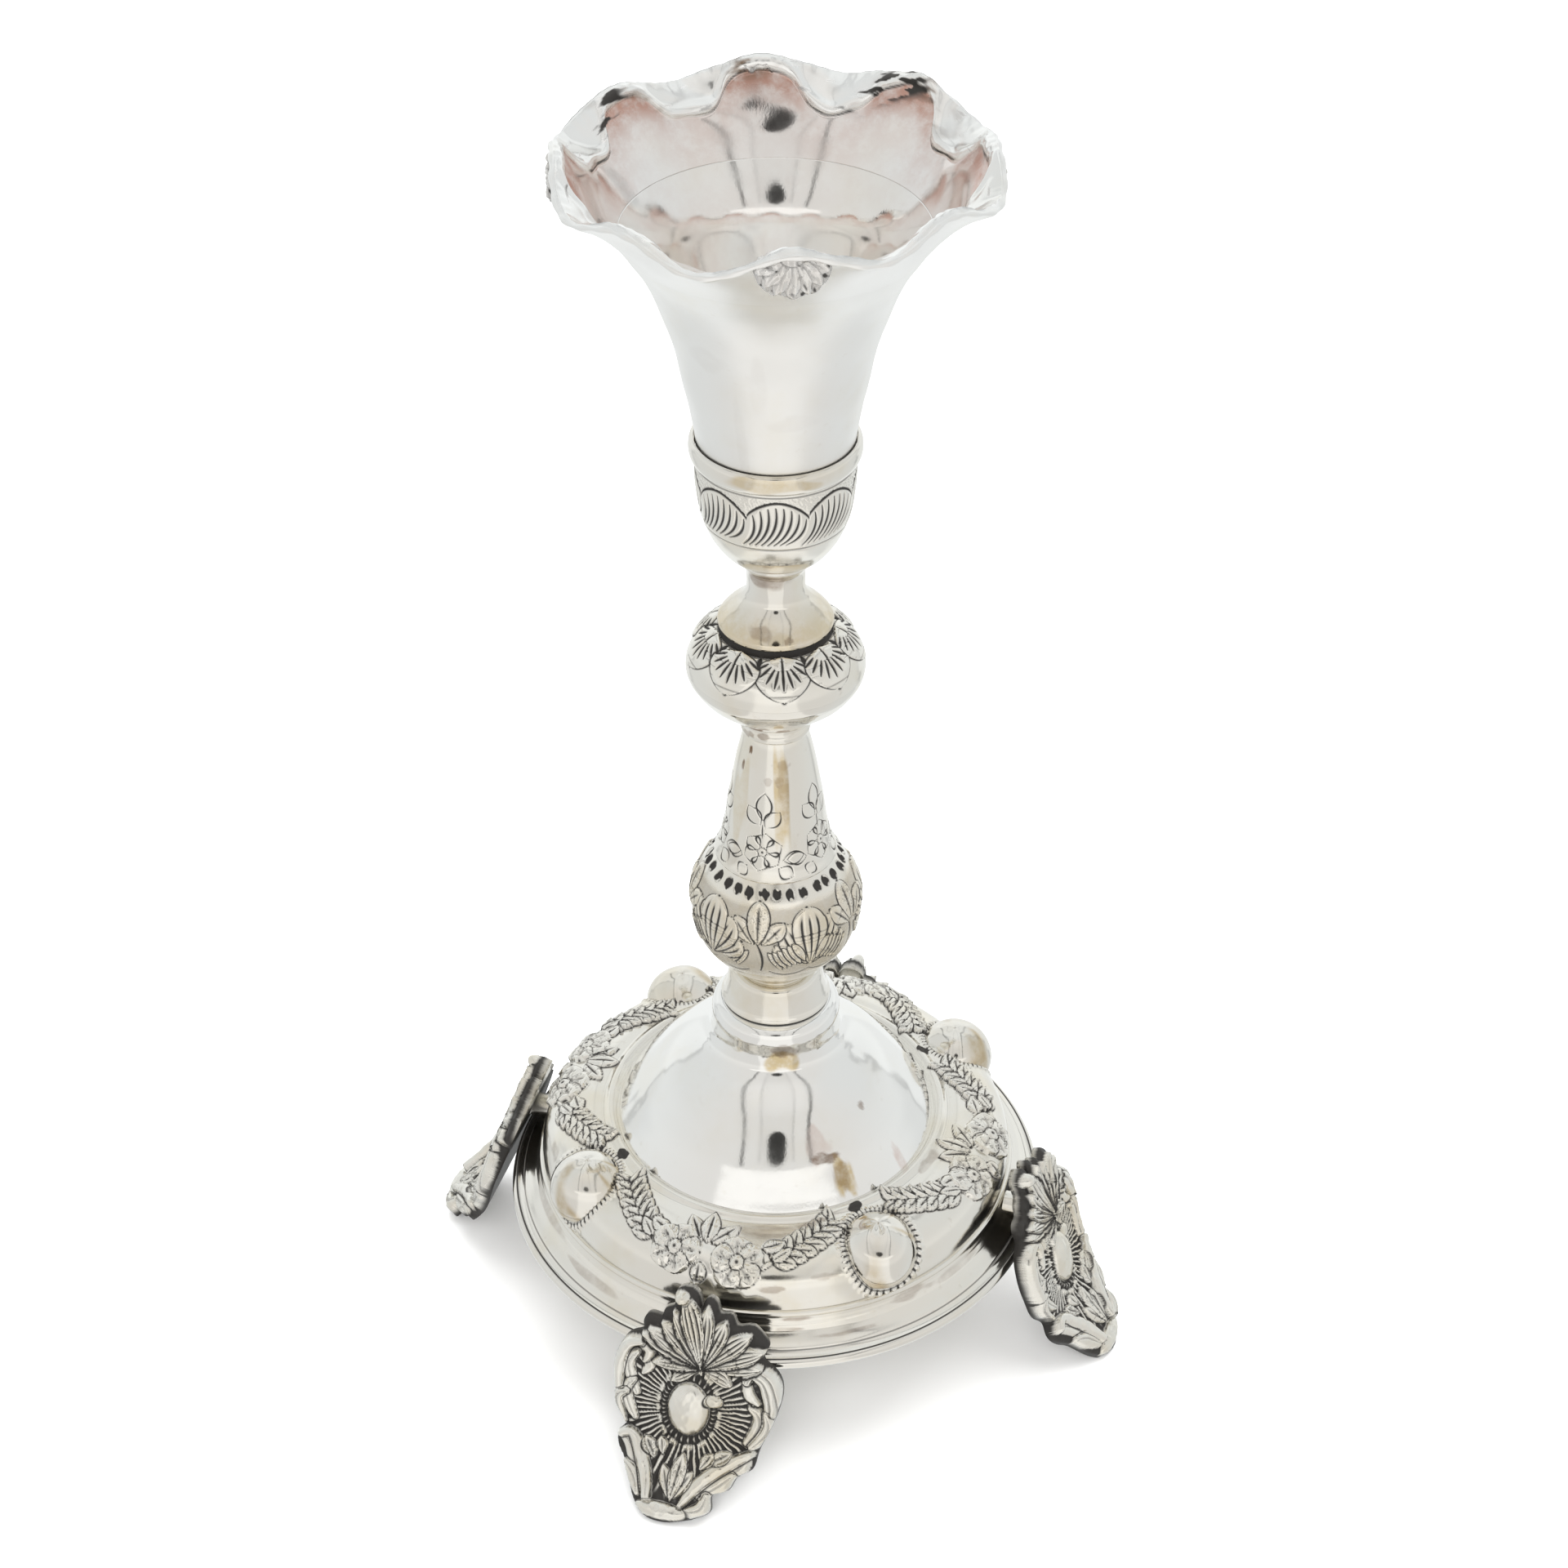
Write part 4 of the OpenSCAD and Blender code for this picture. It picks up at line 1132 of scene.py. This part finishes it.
def foot_plate():
    """One rococo foot: acanthus fan, oval boss in a fluted field, C-scrolls and toe scrolls."""
    plate = Plate(FOOT_PATH, FOOT_OUTLINE, 0.2, 2.0)
    relief = plate.relief
    across, down = relief.across[None, :], relief.down[:, None]
    relief.patina_and_shade += 0.84
    boss = (0.9, 25.6)

    # Fluted field round the boss
    x, y = across - boss[0], down - boss[1]
    spin, reach = np.arctan2(y, x), np.hypot(x / 4.6, y / 6.4)
    flute = np.cos(spin * 56 + 0.35 * wander(across * 8, down * 3, 14, 152))
    field = ease(1.15, 1.3, reach) * ease(3.4, 2.6, reach)
    relief.height += field * (0.3 * flute + 0.4 * ease(1.0, 2.6, reach))
    relief.patina_and_shade -= field * 0.7 * ease(0.2, 0.9, flute)

    def strip(points, width, rise, strands=1):
        """A ridge through [across, down] points of the foot."""
        relief.lay((0, 0), 0, 60, ridge([[a, -d] for a, d in points], width, rise, strands))

    for side_points, width, rise, strands in [
        ([[-9, 15], [-8.2, 17.6], [-9.4, 19.4]], 2.2, 1.0, 1),
        ([[-10.2, 13], [-8.4, 14.4], [-9.2, 16.4]], 2.2, 1.5, 1),
        ([[-10.4, 24.2], [-12, 21], [-12.6, 17.4], [-11, 15.2]], 2.8, 1.2, 3),
        ([[-10.4, 30.2], [-12.2, 27], [-12.6, 23.2], [-11.2, 21.4]], 2.8, 1.2, 3),
        ([[-10.2, 12.4], [-12.8, 13.4], [-14.6, 17], [-14.8, 21.6], [-14.2, 26]], 2.8, 1.8, 1),
        ([[-12.8, 24.4], [-14.6, 26], [-14.2, 29], [-12.6, 31.8]], 2.8, 1.6, 3),
        ([[14, 30.6], [15.8, 27.2], [15.6, 23.6], [14, 22.2]], 3.4, 1.3, 3),
        ([[12.6, 16.4], [13.4, 19.6], [15.4, 21.2]], 2.4, 1.1, 1),
        ([[18, 27], [18.7, 22.4], [17.8, 18], [15.6, 14.8], [13.2, 14.4], [12.6, 16.2]], 4.4, 1.9, 4),
        ([[15, 31.4], [17, 29], [18, 25.4], [17.2, 23]], 3.0, 1.7, 3),
        ([[-12.6, 34.6], [-10.6, 36.4], [-9, 39.6], [-8.4, 42.2]], 3.0, 1.2, 3),
        ([[-10.6, 40.6], [-8.6, 42.6], [-7, 46]], 3.2, 1.4, 3),
        ([[-12.8, 34.8], [-10.8, 33.8], [-8.4, 36.6], [-6.4, 40.8], [-5.2, 45], [-4.4, 49.2]], 3.0, 1.9, 1),
        ([[14.4, 33.4], [13.6, 36.2], [10.4, 39], [8, 41]], 3.2, 1.3, 3),
        ([[12, 38.6], [9.4, 41.4], [6, 44]], 3.2, 1.4, 3),
        ([[7.6, 43.8], [6.8, 46.6], [3.6, 48]], 3.4, 1.4, 3),
        ([[15, 33], [11.6, 35.6], [8, 38.8], [5, 42.4], [2.6, 46.6]], 3.0, 1.9, 1),
    ]:
        strip(side_points, width, rise, strands)

    # Toe, small leaves beside it, and the three-leaf sprig
    relief.lay((-1.6, 48.6), 90, 9, oval(1.9, 5.6, 1.2), 0.8, 0.4)
    for place, turn, length, width in [
        ((-4.6, 38.4), -32, 5.2, 3.0), ((-3.2, 37.2), -12, 4.0, 2.4), ((6.4, 37.4), 52, 6.0, 3.0),
        ((5, 38.8), 30, 4.6, 2.6), ((-0.2, 46), -19, 7.4, 2.7), ((0.4, 46), 27, 7.4, 2.7),
        ((0.1, 46.4), 6, 10.6, 3.2),
    ]:
        relief.lay(place, turn, 12, leaf(length, width, 1.3, 1.25), 1.0, 0.4)

    # Oval boss in a ticked, dark-grounded frame
    frame_ticks = np.cos(spin * 34)
    ring = bump(reach - 1.16, 0.12)
    relief.height = relief.height * (1 - ease(1.34, 1.2, reach)) + ring * (0.5 + 0.35 * frame_ticks)
    relief.patina_and_shade = np.where(reach < 1.36, 0.95 - ring * 0.5 * ease(0.2, 0.9, frame_ticks), relief.patina_and_shade)
    outer = bump(reach - 1.42, 0.09) * ease(-0.4, 0.3, np.cos(spin * 17))
    relief.height += 0.5 * outer
    relief.patina_and_shade = np.maximum(relief.patina_and_shade - 0.8 * outer, 0)
    relief.lay(boss, 0, 8, oval(4.5, 6.3, 2.2), 1.0, 0.3)
    relief.lay((6.1, 22.6), 0, 4, oval(1.9, 1.5, 1.2), 1.0, 0.35)

    # Acanthus fan, from the outer leaves to the middle one
    for tip_across, tip_down, width in FAN_LEAVES:
        dx, dy = tip_across - FAN[0], FAN[1] - tip_down
        turn = math.degrees(math.atan2(dx, dy))
        blade = leaf(math.hypot(dx, dy), width * 0.95, 1.8, 1.4, ribs=3, dark=0.95, bow=0.05 * turn * 0.4)
        relief.lay(FAN, turn, 20, blade, 1.0, 0.55)
    relief.lay((-2.6, 0.8), 0, 4, oval(1.7, 1.5, 2.2), 0.9, 0.3)

    crown = 1.4 * (1 - (across / 17) ** 2) + 0.8 * bump(down - 24, 12)
    relief.height += crown - 0.6
    relief.height += 0.05 * wander(across * 8, down * 2, 24, 151)
    plate.round_edge(1.3, 1.1)
    relief.patina_and_shade = np.clip(relief.patina_and_shade, 0, 1)
    return plate


def feet():
    points, faces, layers = foot_plate().mesh(floor=0.0)
    for k, azimuth in enumerate(FEET, 1):
        turned = turn_about_axis(points, azimuth)
        make(f"foot_cast_{k}", "stand", [f"foot_{k}"], CAST, turned, faces, layers)


# ---- CAD nodes that show as they are ----


def finish_cad_nodes():
    finishes = {
        POLISHED: ["candle_socket", "socket_floor"],
        CAST: [f"foot_lug_{k}" for k in range(1, 5)],
        STEEL: ["tie_rod", "spreader_washer"],
        BRASS: ["top_nut", "bottom_nut"],
    }
    for material, names in finishes.items():
        for name in names:
            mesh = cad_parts[name].data
            mesh.materials.clear()
            mesh.materials.append(material)


# ---- Studio ----

CAMERA_AZIMUTH = -73
CAMERA_DISTANCE, CAMERA_HEIGHT, CAMERA_PITCH = 0.5136, 0.5199, 36.84
CAMERA_FIELD = 27.46


def camera():
    data = bpy.data.cameras.new("camera")
    data.sensor_width = 36
    data.lens_unit = "FOV"
    data.angle = math.radians(CAMERA_FIELD)
    data.shift_x = 0.0053
    data.clip_start, data.clip_end = 0.01, 50
    seat = bpy.data.objects.new("camera", data)
    bpy.context.scene.collection.objects.link(seat)
    a, pitch = math.radians(CAMERA_AZIMUTH), math.radians(CAMERA_PITCH)
    seat.location = (CAMERA_DISTANCE * math.cos(a), CAMERA_DISTANCE * math.sin(a), CAMERA_HEIGHT)
    look = Vector((-math.cos(a) * math.cos(pitch), -math.sin(a) * math.cos(pitch), -math.sin(pitch)))
    seat.rotation_euler = look.to_track_quat("-Z", "Y").to_euler()
    bpy.context.scene.camera = seat


# The room that the metal mirrors: brightness of its walls, how much the grey panels take away, where
# their seams and rear corners are, and the angles from its middle to the edge of the dark lens
WALL_LIGHT, PANEL_DIM = 0.95, 0.19
SEAM_SIDE, CORNER_SWING = 0.41, 2.22
LENS_INNER, LENS_OUTER = 0.115, 0.13
LAMPS = [("softbox_over", (0.1, 0.5, 1.5), 1.8, 40.0), ("softbox_front", (0.3, -1.4, 1.2), 1.2, 20.0)]


def studio():
    """A white tent: pale grey side walls, a slot for the lens, and a soft white ground below."""
    world = bpy.data.worlds.new("studio")
    bpy.context.scene.world = world
    world.use_nodes = True
    g = Graph(world.node_tree)
    way = g.add("TexCoord").outputs["Generated"]
    a = math.radians(CAMERA_AZIMUTH)

    def towards(x, y, z):
        return g.add("VectorMath", {0: way, 1: (x, y, z)}, operation="DOT_PRODUCT").outputs["Value"]

    def line(value, place, half, strength):
        """A thin dark line where the value is at the place."""
        return g.times(g.span(g.math("ABSOLUTE", g.minus(value, place)), half, 0.3 * half), strength)

    ahead, side = towards(math.cos(a), math.sin(a), 0), towards(-math.sin(a), math.cos(a), 0)
    up = towards(0, 0, 1)
    swing = g.math("ABSOLUTE", g.math("ARCTAN2", side, ahead))
    aside = g.math("ABSOLUTE", side)
    folds = g.minus(g.noise(3.5, 2, 0.5, way), 0.5)
    above = g.span(up, -0.05, 0.1)

    # Grey side walls from the slit in front to the wavy corners behind
    corner = g.plus(swing, g.times(folds, 0.7))
    behind_corner = g.span(corner, 2.2, 2.26)
    from_middle = g.plus(g.math("POWER", g.math("DIVIDE", swing, 0.74), 2.0),
                  g.math("POWER", g.math("DIVIDE", g.minus(up, 0.385), 0.07), 2.0))
    pale = g.span(from_middle, 1.0, 0.92)
    panel = g.math("MAXIMUM", g.span(aside, 0.4, 0.44), g.span(up, 0.42, 0.48))
    panel = g.times(panel, g.minus(1.0, g.times(behind_corner, 0.6)), g.span(up, 0.98, 0.8, 0.5, 1.0))
    panel = g.times(panel, g.minus(1.0, pale))
    light = g.minus(WALL_LIGHT, g.times(panel, PANEL_DIM))
    lower = g.span(up, 0.5, 0.05)
    light = g.plus(light, g.times(lower, above, 0.06))
    for shade in [
        g.times(line(corner, CORNER_SWING, 0.05, 0.2), g.span(up, 0.95, 0.85)),
        g.times(line(g.plus(aside, g.times(folds, 0.06)), SEAM_SIDE, 0.028, 0.55),
                g.span(up, 0.44, 0.48), g.span(up, 0.98, 0.93)),
        g.times(line(aside, 0.21, 0.02, 0.2), g.span(up, 0.5, 0.54)),
        g.times(g.span(aside, 0.21, 0.19), g.span(up, 0.5, 0.54), 0.03),
    ]:
        light = g.minus(light, shade)

    # Pale table in front of the lens, and the ground, which is dimmer in front than behind
    light = g.plus(light, g.times(pale, 0.08))
    light = g.minus(light, g.times(line(from_middle, 1.1, 0.18, 0.35), g.span(up, 0.42, 0.45)))
    ground = g.times(g.span(up, 0.02, -0.1), g.span(up, -0.95, -0.75), g.span(swing, 1.9, 0.9), 0.03)
    light = g.minus(light, ground)
    pitch = math.radians(CAMERA_PITCH)
    lens = towards(math.cos(a) * math.cos(pitch), math.sin(a) * math.cos(pitch), math.sin(pitch))
    light = g.times(light, g.span(lens, math.cos(LENS_INNER), math.cos(LENS_OUTER), 0.06, 1.0))
    seen = g.add("LightPath").outputs["Is Camera Ray"]
    strength = g.math("MAXIMUM", light, seen)
    tint = g.mix(g.span(swing, 0.8, 2.0), rgb(1, 0.99, 0.965), rgb(0.975, 1, 1))
    tint = g.mix(seen, tint, rgb(1, 1, 1))
    back = g.add("Background", {"Color": tint, "Strength": strength})
    g.put(g.add("OutputWorld").inputs[0], back.outputs[0])

    for name, place, size, power in LAMPS:
        data = bpy.data.lights.new(name, "AREA")
        data.size, data.energy = size, power
        lamp = bpy.data.objects.new(name, data)
        lamp.location = place
        lamp.rotation_euler = (Vector((0, 0, 0.12)) - Vector(place)).to_track_quat("-Z", "Y").to_euler()
        lamp.visible_glossy = False
        bpy.context.scene.collection.objects.link(lamp)


def table():
    half = 4.0
    mesh = bpy.data.meshes.new("table_top")
    corners = [(-half, -half, 0), (half, -half, 0), (half, half, 0), (-half, half, 0)]
    mesh.from_pydata(corners, [], [(0, 1, 2, 3)])
    material = bpy.data.materials.new("white_table")
    material.use_nodes = True
    g = Graph(material.node_tree)
    shade = g.mix(g.noise(6, 2), rgb(0.93, 0.93, 0.93), rgb(0.95, 0.95, 0.95))
    shader = g.add("BsdfPrincipled", {"Base Color": shade, "Roughness": 0.8})
    g.put(g.add("OutputMaterial").inputs[0], shader.outputs[0])
    mesh.materials.append(material)
    floor = bpy.data.objects.new("table_top", mesh)
    floor.location = (0, 0, -0.0002)
    floor.visible_glossy = False
    bpy.context.scene.collection.objects.link(floor)


trumpet()
rim()
rim_shells()
cup_lip()
cup()
neck()
knop_top()
knop_bottom()
collar()
stem()
bulb()
spool()
dome()
shoulder()
skirt()
bosses()
feet()
finish_cad_nodes()
camera()
studio()
table()
bpy.context.scene.view_settings.view_transform = "Standard"
